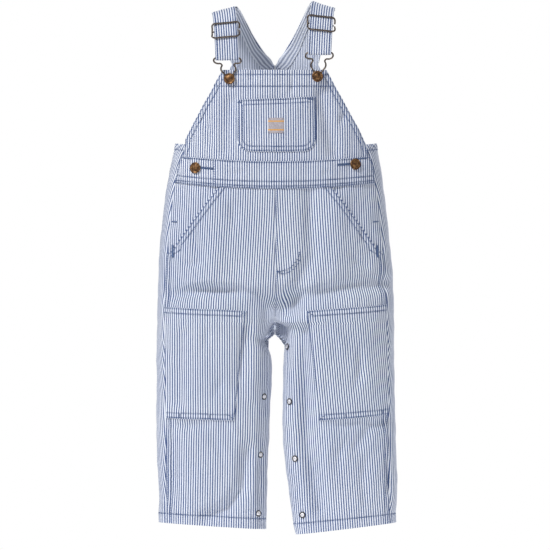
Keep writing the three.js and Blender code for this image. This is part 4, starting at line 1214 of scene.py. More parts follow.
def waistband():
    low_insets, high_insets = insets(*WAISTBAND_ROWS), insets(WAISTBAND_TOP_ROW)
    heights = graded(WAISTBAND_LOW, WAISTBAND_HIGH, low_insets, high_insets, GRID)
    span = FrontSpan(heights)
    left, right = waistband_ends(span)
    lengths = spread(columns(insets(SEAM_ROWS[0]), insets(SEAM_ROWS[0]), 290, GRID), left, right)
    rise = on_rows(heights, lengths)
    from_end = np.minimum(lengths - left[:, None], right[:, None] - lengths)
    from_low, from_high = rise - WAISTBAND_LOW, WAISTBAND_HIGH - rise
    offset = hem(from_low, lengths, WAISTBAND_ROWS, False)
    offset = offset + hem(from_high, lengths, (WAISTBAND_TOP_ROW,), False)
    offset = offset + 0.4 * hem(from_end, rise, (SEAM_ROWS[0],), False)
    edge = rounding(np.minimum(from_end, np.minimum(from_low, from_high)))
    uv = lengths + 1.2, rise
    seam = np.minimum(from_rows(from_high, (WAISTBAND_TOP_ROW,)), from_rows(from_end, SEAM_ROWS[:1]))
    seam = np.minimum(seam, from_rows(from_low, WAISTBAND_ROWS))
    outside, inside = WAISTBAND_OUT + offset - edge, WAISTBAND_OUT - CLOTH + edge
    cloth_piece("waistband", span.points(lengths), outside, inside, uv, seam)


BUTTONHOLES = {1: (89, 18, 475.5), -1: (87.5, 17, 470.5)}  # middle, length, height
OPENING_ROW_X = 78.5  # the upright row on the wearer's right


def waistband_sewing():
    for height in [WAISTBAND_LOW + row for row in WAISTBAND_ROWS] + [WAISTBAND_HIGH - WAISTBAND_TOP_ROW]:
        span = FrontSpan([height])
        left, right = waistband_ends(span)
        yield run(span.points(np.linspace(left[0] + 1, right[0] - 1, 140)[None]), WAISTBAND_OUT + 0.05)
    for side in (-1, 1):
        girth = Girth(side, np.linspace(WAISTBAND_LOW + 1, WAISTBAND_HIGH - 1, 20))
        ends = girth.length_at(side_seam(side, girth.heights))
        yield run(line_at(girth, ends - 0.1 - SEAM_ROWS[0]), WAISTBAND_OUT + 0.05)
        middle, length, height = BUTTONHOLES[side]
        xs = middle + np.linspace(-length / 2, length / 2, 30)
        for lip in (-0.8, 0.8):
            line = surface(side, place_of_x(side, xs, height + lip), np.full(30, height + lip))
            yield run(line, WAISTBAND_OUT + 0.3, pitch=0.5, length=1.7, width=0.62, crosswise=True)
        x_bar = 0.94 * (look(SIDE_SEAM, SIDE_NAMES[side], 480.0) - 3)
        yield bartack(side, x_bar, WAISTBAND_HIGH - 2.2, 11, False, WAISTBAND_OUT + 0.3, 1.3)
    heights = np.linspace(WAISTBAND_LOW + 2, WAISTBAND_HIGH - 2, 14)
    yield run(surface(-1, place_of_x(-1, OPENING_ROW_X, heights), heights), WAISTBAND_OUT + 0.05)


def hip_pocket_facing(side):
    bare = np.array([0.0, 1.0])
    heights = graded(POCKET_MOUTH["facing_foot"], WAIST_SEAM + 3, bare, bare, GRID)
    girth = Girth(side, heights)
    seam = girth.length_at(side_seam(side, heights))
    _, mouth = front_leg_edges(girth)
    grid = columns(np.array([0.0, 1.5]), insets(), 60, GRID)
    lengths = spread(grid, mouth - POCKET_MOUTH["under"], seam - 0.1)
    past = lengths - mouth[:, None]
    offset = -LAYER - 0.1 + (LAYER - 0.1) * smooth((past - 2) / 15)
    edge = rounding(seam[:, None] - 0.1 - lengths)
    uv = lengths - girth.grain()[:, None] + 81.1, heights[:, None]
    name = "hip_pocket_facing_" + SIDE_NAMES[side]
    cloth_piece(name, girth.points(lengths), offset - edge, offset - CLOTH + edge, uv)


def side_placket(side):
    heights = np.linspace(SIDE_PLACKET["bottom"], SIDE_PLACKET["top"], 24)
    girth = Girth(side, heights)
    left = girth.length_at(np.full(len(heights), SIDE_PLACKET["start"]))
    right = girth.length_at(side_seam(side, heights) + SIDE_PLACKET["past"])
    lengths = spread(columns(insets(), insets(), 55, GRID), left, right)
    edge = rounding(np.minimum(lengths - left[:, None], right[:, None] - lengths))
    sink = 2 * LAYER + 0.9
    uv = lengths, heights[:, None]
    name = "side_placket_" + SIDE_NAMES[side]
    cloth_piece(name, girth.points(lengths), -(sink + edge), -(sink + CLOTH - edge), uv)


def pocket_inside(x, height):
    """Distance inside the bib pocket's outline, with its round lower corners."""
    p = BIB_POCKET
    middle = (p["left"] + p["right"]) / 2
    top = p["top"] + p["skew"] * (x - middle) / (p["right"] - p["left"])
    from_side = np.minimum(x - p["left"], p["right"] - x)
    straight = np.minimum(from_side, np.minimum(top - height, height - p["bottom"]))
    dx = p["corner"] - from_side
    dz = p["corner"] - (height - p["bottom"])
    in_corner = (dx > 0) & (dz > 0)
    return np.where(in_corner, p["corner"] - np.hypot(dx, dz), straight), top - height


def pocket_grid(shares, levels):
    """x and height of the bib pocket at shares across it and levels down it."""
    p = BIB_POCKET
    middle = (p["left"] + p["right"]) / 2
    fall = np.maximum(0, p["corner"] - levels * (p["top"] - p["bottom"]))[:, None]
    inset = p["corner"] - np.sqrt(np.maximum(0, p["corner"] ** 2 - fall**2))
    x = mix(p["left"] + inset, p["right"] - inset, shares[None])
    height = p["bottom"] + levels[:, None] * (p["top"] - p["bottom"])
    return x, height + p["skew"] * levels[:, None] * (x - middle) / (p["right"] - p["left"])


def front_surface(x, height):
    """Points of the front given by x and height."""
    right = surface(-1, place_of_x(-1, np.maximum(-x, 0), height), height)
    left = surface(1, place_of_x(1, np.maximum(x, 0), height), height)
    is_left = (x > 0)[..., None]
    return np.where(is_left, left[0], right[0]), np.where(is_left, left[1], right[1])


def bib_pocket():
    width, tall = BIB_POCKET["right"] - BIB_POCKET["left"], BIB_POCKET["top"] - BIB_POCKET["bottom"]
    shares = graded(0, width, insets(*SEAM_ROWS), insets(*SEAM_ROWS), 2.0) / width
    levels = graded(0, tall, insets(*SEAM_ROWS) * 0.8, insets(*SEAM_ROWS), 1.8) / tall
    x, height = pocket_grid(shares, levels)
    from_edge, from_top = pocket_inside(x, height)
    from_edge = np.maximum(from_edge, 0)
    sides = hem(from_edge, x + height, SEAM_ROWS, band=False)
    bag = 0.7 * smooth((from_edge - 8) / 18) * smooth((from_top + 6) / 30) + 0.9 * smooth(1 - from_top / 26)
    bag = bag * smooth(from_edge / 12)
    edge = rounding(from_edge)
    uv = x + 0.012 * height + 1.7, height
    outside, inside = POCKET_OUT + sides + bag - edge, POCKET_OUT - CLOTH + bag + edge
    cloth_piece("bib_pocket", front_surface(x, height), outside, inside, uv, from_rows(from_edge, SEAM_ROWS))


def pocket_path(inset):
    """x and height along the bib pocket's outline, drawn in by inset."""
    p = BIB_POCKET
    radius = p["corner"] - inset
    left, right, bottom = p["left"] + inset, p["right"] - inset, p["bottom"] + inset
    left_top, right_top = (p["top"] + side * p["skew"] / 2 - inset for side in (-1, 1))
    sine, cosine = (radius * wave(np.linspace(0, np.pi / 2, 9)) for wave in (np.sin, np.cos))
    xs = [left, *(left + radius - cosine), *(right - radius + sine), right, left]
    zs = [left_top, *(bottom + radius - sine), *(bottom + radius - cosine), right_top, left_top]
    line = np.array([xs, zs], float)
    along = lengths_along(line.T)
    at = np.linspace(0, along[-1], 200)
    return np.interp(at, along, line[0]), np.interp(at, along, line[1])


def bib_pocket_sewing():
    for inset in SEAM_ROWS:
        yield run(front_surface(*pocket_path(inset)), POCKET_OUT + 0.15)
    for side, x in ((-1, 45.5), (1, 46.5)):
        height = BIB_POCKET["top"] + side * BIB_POCKET["skew"] / 2 - 3.6
        yield bartack(side, x, height, 6.5, False, POCKET_OUT + 0.4, 2.0)


def label():
    width, tall = LABEL["right"] - LABEL["left"], LABEL["top"] - LABEL["bottom"]
    across = graded(0, width, insets(), insets(), 1.4)
    up = graded(0, tall, insets(), insets(), 1.4)
    x, height = np.meshgrid(LABEL["left"] + across, LABEL["bottom"] + up)
    from_left, from_foot = x - LABEL["left"], height - LABEL["bottom"]
    from_side = np.minimum(from_left, LABEL["right"] - x)
    from_edge = np.minimum(from_side, np.minimum(from_foot, LABEL["top"] - height))
    bow = 0.35 * np.sin(np.pi * from_left / width) * np.sin(np.pi * from_foot / tall)
    edge = rounding(from_edge) * 0.75
    lift = LABEL_OUT + 1.15 * smooth((from_left + 40) / 60) * 0.4 + bow
    uv = from_left, from_foot
    line, inside = front_surface(x, height), lift - LABEL_CLOTH + edge
    more = dict(slot="label_tape", finishes=("label", "label"))
    cloth_piece("label", line, lift - edge, inside, uv, from_edge, **more)


def label_sewing():
    """A small bar at each corner of the label."""
    for x in (LABEL["left"] + 0.9, LABEL["right"] - 0.9):
        for height in (LABEL["bottom"] + 1, LABEL["top"] - 1):
            line = front_surface(np.full(2, x), height + np.array([-0.9, 0.9]))
            yield run(line, LABEL_OUT + 0.75, pitch=0.6, length=1.5, width=0.45, crosswise=True)


def patch_point(side, share, level):
    """Points on a knee patch: share from its inner edge to the side seam, level from its foot up."""
    patch = KNEE_PATCH[side]
    height = mix(mix(*patch["bottom"], share), mix(*patch["top"], share), level)
    inner = place_of_x(side, mix(patch["inner"][1], patch["inner"][0], level), height)
    place = mix(inner, side_seam(side, height) - 0.006, share)
    return surface(side, place, height), place, height


PATCH_ROWS = (1.5, 7.2)


def patch_size(side):
    (across, _), _, _ = patch_point(side, np.linspace(0, 1, 60), np.full(60, 0.5))
    patch = KNEE_PATCH[side]
    tall = (sum(patch["top"]) - sum(patch["bottom"])) / 2
    return np.linalg.norm(np.diff(across, axis=0), axis=1).sum(), tall


def knee_patch(side):
    width, tall = patch_size(side)
    shares = graded(0, width, insets(*PATCH_ROWS), insets(PATCH_ROWS[0]), GRID) / width
    levels = graded(0, tall, insets(*PATCH_ROWS), insets(*PATCH_ROWS), GRID) / tall
    share, level = np.meshgrid(shares, levels)
    line, place, height = patch_point(side, share, level)
    ends = np.minimum(level, 1 - level) * tall
    inner_side = share * width
    outer_side = (1 - share) * width
    offset = hem(ends, inner_side, PATCH_ROWS) + hem(inner_side, level * tall, PATCH_ROWS[:1], False)
    edge = rounding(np.minimum(np.minimum(ends, inner_side), outer_side))
    girth = Girth(side, np.linspace(120, 310, 96))
    lengths = np.stack([np.interp(height, girth.heights, row) for row in girth.lengths.T], axis=-1)
    at = (place - girth.places[0]) / (girth.places[1] - girth.places[0])
    low = np.clip(at.astype(int), 0, len(girth.places) - 2)
    before, after = (np.take_along_axis(lengths, (low + k)[..., None], -1)[..., 0] for k in (0, 1))
    reach = mix(before, after, at - low)
    grain = np.interp(height, girth.heights, girth.grain())
    uv = reach - grain + side * 0.022 * (height - 220) + 61.3, height
    seam = np.minimum(from_rows(ends, PATCH_ROWS), from_rows(inner_side, PATCH_ROWS[:1]))
    name = "knee_patch_" + SIDE_NAMES[side]
    cloth_piece(name, line, PATCH_OUT + offset - edge, PATCH_OUT - CLOTH + edge, uv, seam)


def knee_patch_sewing(side):
    width, tall = patch_size(side)

    def row(start, end, lift=PATCH_OUT + 0.12, **more):
        t = np.linspace(0, 1, 70)
        share = mix(start[0], end[0], t) / width
        level = mix(start[1], end[1], t) / tall
        line, _, _ = patch_point(side, np.clip(share, 0, 1), np.clip(level, 0, 1))
        return run(line, lift, **more)

    near, far = PATCH_ROWS
    slots = [width * share for share in KNEE_PATCH[side]["slots"]]
    on_band = dict(lift=PATCH_OUT + BAND_RISE + 0.3, pitch=1.9, width=1.5)
    yield row((near, near), (width, near), width=1.1)
    yield row((near, near), (near, tall - near))
    yield row((near, tall - near), (width, tall - near))
    yield row((far + 2, tall - far), (width, tall - far))
    yield row((near + 0.5, tall - near - 0.5), (far + 2, tall - far), **on_band)
    yield row((near + 0.5, near + 0.5), (far + 2, far), **on_band)
    yield row((far + 2, far), (slots[0], far))
    yield row((slots[0], near), (slots[0], far), **on_band)
    yield row((slots[1], near), (slots[1], far), **on_band)
    yield row((slots[1], far), (width, far))
    yield row((slots[0] + 2, far + 0.6), (slots[1] - 2, far + 0.6))


def crotch_facing(side):
    heights = np.linspace(CROTCH_FACING["bottom"], CROTCH_FACING["top"], 36)
    girth = Girth(side, heights)
    seam, left, _, centre = back_edges(girth)
    start, end = mix(left, centre, 1 - CROTCH_FACING["share"]), centre - 0.3
    lengths = spread(columns(insets(), insets(), 14, 1.5), start, end)
    sink = back_sink(girth, lengths, seam) - LAYER - 0.1
    edge = rounding(np.minimum(lengths - start[:, None], end[:, None] - lengths))
    uv = heights[:, None] + 0.3 * side * lengths, lengths
    name = "crotch_facing_" + SIDE_NAMES[side]
    more = dict(finishes=("twill", "twill"), keep_side=side)
    cloth_piece(name, girth.points(lengths), sink - edge, sink - FACING_CLOTH + edge, uv, **more)


def neck_facing(side):
    along = np.concatenate([[-3, -1.5], np.linspace(0, 86, 40)])
    across = graded(0, NECK_FACING, insets(), insets(), 1.6)
    x = neck_edge(side, along)[:, None] + across[None]
    drop = (across / NECK_FACING)[None] * 9 * (1 - smooth((along + 3) / 50))[:, None]
    line = surface(side, place_on_top(x), BACK_PLANE_TOP + along[:, None] - drop)
    from_edge = np.minimum(across, NECK_FACING - across)[None]
    edge = np.broadcast_to(rounding(from_edge), x.shape)
    sink = LAYER + 0.05 + 0.25 * np.exp(-(((across - 1.8) / 0.7) ** 2))[None] * np.ones_like(x)
    inside = -(sink + FACING_CLOTH - edge)
    run_along = lengths_along(line[0][:, 0] + line[1][:, 0] * inside[:, :1])
    uv = across + 0.9, run_along[:, None]
    name = "neck_facing_" + SIDE_NAMES[side]
    more = dict(finishes=("twill_inside", "twill_inside"), keep_side=side)
    cloth_piece(name, line, -(LAYER + edge), inside, uv, **more)


def along_of_height(side, height):
    """How far along the front of the shoulder arch a height is reached."""
    rise = STRAPS[side]["top"] - BACK_PLANE_TOP
    angle = np.pi - np.arcsin(unpower((height - BACK_PLANE_TOP) / rise))
    return float(ARCH_LENGTH * angle / np.pi)


def strap_front(side, along, x):
    """Points of the strap's middle line on the front, x from its middle, with their frame."""
    along, x = together(along, x)
    t = np.clip((along - APEX_ALONG) / (ARCH_LENGTH - APEX_ALONG), 0, 1)
    middle = mix(STRAPS[side]["apex"], STRAPS[side]["foot"], t)
    point = shoulder_point(side, middle + x, along)
    down = unit(shoulder_point(side, middle + x, along + 1) - shoulder_point(side, middle + x, along - 1))
    across = unit(shoulder_point(side, middle + x + 1, along) - shoulder_point(side, middle + x - 1, along))
    out = unit(np.cross(across, down)) * side
    wrong = np.where(along > 120, out[..., 1] > 0, out[..., 2] < 0)
    return point, down, across, np.where(wrong[..., None], -out, out)


def strap_rows(side, x):
    """Middle points and outward normals of the strap, row by row from the centre back to its tucked end."""
    sizes = STRAPS[side]
    fold = along_of_height(side, sizes["fold"])
    share = (x / STRAP_WIDTH + 0.5)[None]
    rows = np.linspace(0, 9, 64)[:, None]
    shift = sizes["neck"] * smooth((look(STRAP_BACK, "inner_along", rows) + 3) / 20)
    inner = place_on_top(look(STRAP_BACK, "inner", rows) + shift)
    outer = place_on_top(look(STRAP_BACK, "outer", rows) + shift)
    along = mix(look(STRAP_BACK, "inner_along", rows), look(STRAP_BACK, "outer_along", rows), share)
    point, normal = surface(side, mix(inner, outer, share), BACK_PLANE_TOP + along)
    points, normals = [point + normal * STRAP_LIFT], [normal]

    def front(alongs, shift, turned):
        point, _, _, out = strap_front(side, np.asarray(alongs)[:, None], x[None])
        points.append(point + out * (STRAP_LIFT + shift))
        normals.append(-out if turned else out)

    front(np.linspace(APEX_ALONG, fold, 34)[1:], 0, False)
    point, down, _, out = strap_front(side, fold, x)
    centre = point + out * (STRAP_LIFT - FOLD_RADIUS)
    for angle in np.linspace(0, np.pi, 13)[1:]:
        turned = out * math.cos(angle) + down * math.sin(angle)
        points.append((centre + turned * FOLD_RADIUS)[None])
        normals.append(turned[None])
    front(np.linspace(fold, along_of_height(side, sizes["slider"] - 1), 16)[1:], -2 * FOLD_RADIUS, True)
    return np.concatenate(points), np.concatenate(normals)


def strap(side):
    row = 2.2
    x = graded(-STRAP_WIDTH / 2, STRAP_WIDTH / 2, insets(row), insets(row), 2.2)
    point, normal = strap_rows(side, x)
    shape = point.shape[:2]
    from_edge = np.broadcast_to(np.minimum(x + STRAP_WIDTH / 2, STRAP_WIDTH / 2 - x), shape)
    along = lengths_along(point[:, len(x) // 2])[:, None]
    from_end = np.minimum(along, along[-1] - along) + 0.2
    relief = -0.22 * np.exp(-(((from_edge - row) / 0.6) ** 2))
    curl = 0.25 * np.sin(2 * np.pi * along / 57 + 1 + x / 9) * smooth(along / 40)
    edge = rounding(np.minimum(from_edge, from_end))
    outside, inside = CLOTH / 2 + relief + curl - edge, -CLOTH / 2 + curl + edge
    uv = x + 0.8, along
    more = dict(seam=from_rows(from_edge, (row,)), finishes=("twill", "twill"))
    cloth_piece("strap_" + SIDE_NAMES[side], (point, normal), outside, inside, uv, **more)


def strap_sewing(side):
    """Rows along both edges of the strap, as far as they show."""
    for x in (-STRAP_WIDTH / 2 + 2.2, STRAP_WIDTH / 2 - 2.2):
        point, normal = strap_rows(side, np.array([x]))
        yield run((point[:-14], normal[:-14]), CLOTH / 2, width=0.42)


def bent_wire(name, points, node):
    """A round wire bent through points, as a curve turned into a mesh."""
    bpy.ops.object.select_all(action="DESELECT")
    bpy.ops.curve.primitive_bezier_curve_add()
    piece = bpy.context.object
    piece.name = name
    curve = piece.data
    curve.dimensions = "3D"
    curve.resolution_u = 6
    curve.bevel_depth = bpy.context.scene.overalls_metal.wire_width / 2
    curve.bevel_resolution = 3
    curve.use_fill_caps = True
    knots = curve.splines[0].bezier_points
    knots.add(len(points) - len(knots))
    for knot, place in zip(knots, points):
        knot.co = (np.asarray(place) - (0, 0, SHOULDER_HEIGHT)) * MM
        knot.handle_left_type = knot.handle_right_type = "AUTO"
    bpy.ops.object.convert(target="MESH")
    piece = bpy.context.object
    piece.data.materials.clear()
    piece.data.materials.append(finish_of("dark_wire"))
    bpy.ops.object.shade_smooth()
    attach(piece, BODY)
    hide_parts(node)


def slider(side):
    along = along_of_height(side, STRAPS[side]["slider"])
    point, down, across, out = (np.asarray(v, float) for v in strap_front(side, along, 0.0))
    half, reach, corner, opening = (SLIDER[key] for key in ("half", "reach", "corner", "opening"))
    front = STRAP_LIFT + 0.75 + WIRE_GAP + WIRE
    behind = STRAP_LIFT - FOLD_RADIUS
    middle = (front + behind) / 2 - 0.6

    def at(x, s, lift):
        return point + across * x * side + down * s + out * (lift - SLIDER["bend"] * s * s)

    below = [
        (half, opening / 2 + 0.6, middle),
        (half + 0.4, reach * 0.5, middle + 1),
        (half - 0.3, reach - corner * 0.5, front - 0.3),
        (half - corner, reach, front),
        (half * 0.4, reach, front),
        (-half * 0.4, reach, front),
        (-half + corner, reach, front),
        (-half + 0.3, reach - corner * 0.5, front - 0.3),
        (-half, reach * 0.4, middle),
    ]
    above = [(x, -s, lift) for x, s, lift in reversed(below)]
    name = "slider_" + SIDE_NAMES[side]
    bent_wire(name, [at(*knot) for knot in below + above], name)
    bent_wire(name + "_bar", [at(x, 0, behind) for x in (-half, 0, half - 1.2)], name)


def hook(side):
    sizes = STRAPS[side]
    fold = along_of_height(side, sizes["fold"])
    point, _, across, out = (np.asarray(v, float) for v in strap_front(side, fold, 0.0))
    bar = point + out * (STRAP_LIFT - FOLD_RADIUS)
    button_x, button_height = sizes["button"]
    seat, normal = surface(side, place_of_x(side, button_x, button_height), button_height)
    shank = seat + normal * (WIRE_GAP + WIRE)
    axis = bar - shank
    top = HOOK_PROFILE["height"][-1]
    scale = np.linalg.norm(axis) / top
    axis = unit(axis)

    def level(vector, against):
        return unit(vector - against * (vector @ against))

    low_axis = level(axis, normal)
    low_across = level(level(across * side, normal), low_axis)

    def place(x, rise):
        share = smooth(rise / (top - 3))
        sideways = unit(mix(low_across, across * side, share))
        return shank + sideways * x + (axis * scale if rise > 0 else low_axis) * rise

    profile = list(zip(HOOK_PROFILE["x"], HOOK_PROFILE["height"]))
    lowest = place(0, -BUTTON["shank"] - WIRE - WIRE_GAP - 0.3)
    route = [place(0.6, top), place(9, top)]
    route += [place(x, rise) for x, rise in reversed(profile)]
    route += [lowest]
    route += [place(-x, rise) for x, rise in profile]
    route += [place(-9, top), place(-0.6, top)]
    name = "bib_hook_" + SIDE_NAMES[side]
    bent_wire(name, route, name)


def turned(name, profile, seat, normal, lift, finish, segments=40, rim=None):
    """Metal turned round the cloth's normal: a disc extruded and scaled from ring to ring of its profile."""
    bpy.ops.object.select_all(action="DESELECT")
    bpy.ops.mesh.primitive_circle_add(vertices=segments, radius=profile[0][0] * MM, fill_type="NGON")
    piece = bpy.context.object
    piece.name = name
    bpy.ops.object.mode_set(mode="EDIT")
    bpy.ops.mesh.select_all(action="SELECT")
    for (wide, low), (narrow, high) in zip(profile, profile[1:]):
        bpy.ops.mesh.extrude_region_move(TRANSFORM_OT_translate={"value": (0, 0, (high - low) * MM)})
        factor = narrow / wide
        bpy.ops.transform.resize(value=(factor, factor, 1), center_override=(0, 0, high * MM))
    bpy.ops.mesh.select_all(action="SELECT")
    bpy.ops.mesh.normals_make_consistent(inside=False)
    bpy.ops.object.mode_set(mode="OBJECT")
    bpy.ops.object.shade_smooth_by_angle(angle=math.radians(40))
    piece.data.materials.append(finish_of(finish))
    if rim:
        rim_radius, rim_finish = rim
        piece.data.materials.append(finish_of(rim_finish))
        for face in piece.data.polygons:
            face.material_index = int(face.center.xy.length > rim_radius * MM)
    turn = Vector((0, 0, 1)).rotation_difference(Vector(normal)).to_matrix().to_4x4()
    place = (np.asarray(seat) + np.asarray(normal) * lift - (0, 0, SHOULDER_HEIGHT)) * MM
    piece.data.transform(Matrix.Translation(Vector(place)) @ turn)
    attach(piece, BODY)
    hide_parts(name)


def button_profile(shank_length):
    """Tack button: a shank, a head with a rolled rim, a sunk ring and a slightly domed middle."""
    radius, shank = BUTTON["radius"], BUTTON["shank"]
    rim = [(radius - 1.2, 0), (radius - 0.4, 0.25), (radius, 0.75), (radius, 1.25), (radius - 0.35, 1.75)]
    rim += [(radius - 0.9, 2.0), (radius - 1.5, 1.95), (radius - 2.0, 1.6), (radius - 2.5, 1.45)]
    dome = [(radius - 3.1, 1.6), (radius - 3.5, 1.95), (2.6, 2.2), (1.4, 2.42), (0.4, 2.5)]
    head = [(r, z + shank_length) for r, z in rim + dome]
    return [(shank + 0.8, 0), (shank + 0.7, 0.35), (shank, 0.6), (shank, shank_length - 0.1)] + head


# Radius and height of each ring, from the cloth up the rim, down into the hollow and up its middle
SNAP_RIM = ((4.0, 0), (4.25, 0.2), (4.25, 0.75), (4.0, 1.1), (3.6, 1.28), (3.1, 1.22), (2.7, 0.95))
SNAP_MIDDLE = ((2.45, 0.6), (2.2, 0.55), (1.9, 0.75), (1.3, 1.0), (0.6, 1.1), (0.15, 1.12))
SNAP_CENTRE = 2.65  # the rim's finish starts at this radius


class Signal:
    """A number in a shader, so that sums are written as in Python."""

    def __init__(self, finish, socket):
        self.finish = finish
        self.socket = socket

    def math(self, operation, *others):
        values = dict(enumerate((self, *others)))
        return self.finish.node("ShaderNodeMath", dict(operation=operation), values)

    def __add__(self, other):
        return self.math("ADD", other)

    def __mul__(self, other):
        return self.math("MULTIPLY", other)

    def __sub__(self, other):
        return self.math("SUBTRACT", other)

    def __rsub__(self, other):
        return (self * -1).math("ADD", other)

    def __truediv__(self, other):
        return self.math("DIVIDE", other)

    __radd__, __rmul__ = __add__, __mul__


class Finish:
    """A material and the nodes that drive it."""

    def __init__(self, name, **numbers):
        self.material = bpy.data.materials.new(name)
        self.material.use_nodes = True
        self.tree = self.material.node_tree
        self.shader = next(n for n in self.tree.nodes if n.type == "BSDF_PRINCIPLED")
        for socket, value in numbers.items():
            self.shader.inputs[socket.replace("_", " ")].default_value = value
        self.where = self.node("ShaderNodeTexCoord", output=3)

    def node(self, kind, settings=None, inputs=None, output=0):
        made = self.tree.nodes.new(kind)
        for key, value in (settings or {}).items():
            setattr(made, key, value)
        for key, value in (inputs or {}).items():
            self.put(made.inputs[key], value)
        return Signal(self, made.outputs[output])

    def put(self, socket, value):
        if isinstance(value, Signal):
            self.tree.links.new(value.socket, socket)
        else:
            socket.default_value = value

    def drive(self, socket, value):
        self.put(self.shader.inputs[socket], value)

    def noise(self, scale, detail=2.0):
        return self.node("ShaderNodeTexNoise", {}, {"Vector": self.where, "Scale": scale, "Detail": detail})

    def cloth_uv(self):
        """Millimetres across and along the cloth."""
        uv = self.node("ShaderNodeUVMap", dict(uv_map="cloth"))
        return (self.node("ShaderNodeSeparateXYZ", {}, {0: uv}, output=k) for k in (0, 1))

    def ramp(self, value, low, high, start=0.0, end=1.0):
        inputs = {"Value": value, "From Min": low, "From Max": high, "To Min": start, "To Max": end}
        return self.node("ShaderNodeMapRange", dict(interpolation_type="SMOOTHSTEP"), inputs)

    def blend(self, factor, one, two, mode="MIX"):
        inputs = {0: factor, 6: one, 7: two}
        return self.node("ShaderNodeMix", dict(data_type="RGBA", blend_type=mode), inputs, output=2)

    def bump(self, height, distance, strength=1.0):
        inputs = {"Height": height, "Distance": distance, "Strength": strength}
        self.drive("Normal", self.node("ShaderNodeBump", {}, inputs))


def colour(values):
    return (*values, 1.0)


def twill(name, fade):
    """Striped twill: stripes along the grain, the fine diagonal of the weave, and shade along sewn rows."""
    cloth = bpy.context.scene.overalls_cloth
    finish = Finish(name, Sheen_Weight=0.18, Sheen_Roughness=0.55, Specular_IOR_Level=0.25)
    u, v = finish.cloth_uv()
    slow = finish.noise(42.0, 3.0)
    yarn = finish.noise(900.0, 1.0)
    repeat = cloth.stripe_repeat / MM
    wander = (slow - 0.5) * 0.35 + (yarn - 0.5) * 0.28
    tri = (((u + wander) / repeat).math("FRACT") - 0.5).math("ABSOLUTE") * 2.0
    stripe = finish.ramp(tri, 0.44, 0.56)
    diagonal = ((u * 1.35 + v) / 0.62).math("FRACT")
    weave = (diagonal - 0.5).math("ABSOLUTE") * 2.0
    flecks = finish.ramp(weave + (yarn - 0.5) * 0.9, 0.55, 0.95)
    white, blue = colour(cloth.white), colour(cloth.blue)
    pale = tuple(a + (b - a) * fade for a, b in zip(blue, white))
    dark = finish.blend(flecks * 0.2, pale, white)
    tone = finish.blend(stripe, white, dark)
    uneven = finish.noise(11.0, 4.0)
    tone = finish.blend(finish.ramp(uneven, 0.3, 0.7, 0.0, 0.26), tone, (0.58, 0.64, 0.80, 1), "MULTIPLY")
    seam = finish.node("ShaderNodeAttribute", dict(attribute_name="seam"), output=2)
    shade = finish.ramp(seam, 0.2, 2.2, 0.42, 0.0)
    finish.drive("Base Color", finish.blend(shade, tone, (0.42, 0.49, 0.64, 1), "MULTIPLY"))
    finish.drive("Roughness", 0.86 + (yarn - 0.5) * 0.16)
    finish.bump(weave * 0.6 + yarn * 0.5 + stripe * 0.12, 0.00012, 0.55)
    return finish.material


def thread_finish():
    cloth = bpy.context.scene.overalls_cloth
    finish = Finish("thread", Specular_IOR_Level=0.4, Sheen_Weight=0.2)
    twist = finish.noise(2600.0, 2.0)
    light = tuple(min(1, 2.1 * c + 0.03) for c in cloth.thread)
    tone = finish.blend(finish.ramp(twist, 0.35, 0.7), colour(cloth.thread), colour(light))
    finish.drive("Base Color", tone)
    finish.drive("Roughness", 0.6 + twist * 0.2)
    finish.bump(twist, 0.00008, 0.5)
    return finish.material


def label_finish():
    """Woven tape with two plain bars and a fine rib."""
    cloth = bpy.context.scene.overalls_cloth
    finish = Finish("label_tape", Sheen_Weight=0.25)
    u, v = finish.cloth_uv()
    speckle = finish.noise(1500.0, 2.0)
    tall = LABEL["top"] - LABEL["bottom"]
    from_middle = (v - tall / 2).math("ABSOLUTE")
    bar = finish.ramp((from_middle - 5.6).math("ABSOLUTE"), 0.75, 0.95, 1.0, 0.0)
    rib = ((v / 0.5).math("FRACT") - 0.5).math("ABSOLUTE") * 2.0
    cross = ((u / 0.42).math("FRACT") - 0.5).math("ABSOLUTE") * 2.0
    ground = finish.blend(finish.ramp(speckle, 0.35, 0.7), colour(cloth.label), (0.58, 0.55, 0.60, 1))
    tone = finish.blend(bar * finish.ramp(cross, 0.15, 0.5, 0.8, 1.0), ground, colour(cloth.label_bar))
    finish.drive("Base Color", tone)
    finish.drive("Roughness", 0.72 + speckle * 0.15)
    finish.bump(rib * 0.6 + cross * 0.4, 0.00008, 0.6)
    return finish.material


def metal_finish(name, bright, dark, scale, low, high, rough, bump):
    """Aged metal: bright where rubbed, dark in patches, with fine pits."""
    finish = Finish(name, Metallic=1.0)
    patches = finish.noise(scale, 4.0)
    pits = finish.noise(scale * 7, 3.0)
    worn = finish.ramp(patches + (pits - 0.5) * 0.35, low, high)
    finish.drive("Base Color", finish.blend(worn, colour(dark), colour(bright)))
    finish.drive("Roughness", rough[0] + (rough[1] - rough[0]) * worn + (pits - 0.5) * 0.1)
    finish.bump(pits + patches * 0.6, bump, 0.6)
    return finish.material


def brass_finish():
    metal = bpy.context.scene.overalls_metal
    return metal_finish("antique_brass", metal.brass, metal.patina, 300.0, 0.4, 0.62, (0.66, 0.52), 0.00005)


def wire_finish():
    metal = bpy.context.scene.overalls_metal
    rubbed = tuple(min(1, 2.2 * c) for c in metal.wire)
    return metal_finish("dark_wire", rubbed, metal.wire, 260.0, 0.5, 0.8, (0.42, 0.28), 0.00005)


def steel_finish():
    metal = bpy.context.scene.overalls_metal
    dull = tuple(0.75 * c for c in metal.steel)
    return metal_finish("snap_steel", metal.steel, dull, 420.0, 0.25, 0.55, (0.62, 0.5), 0.00002)


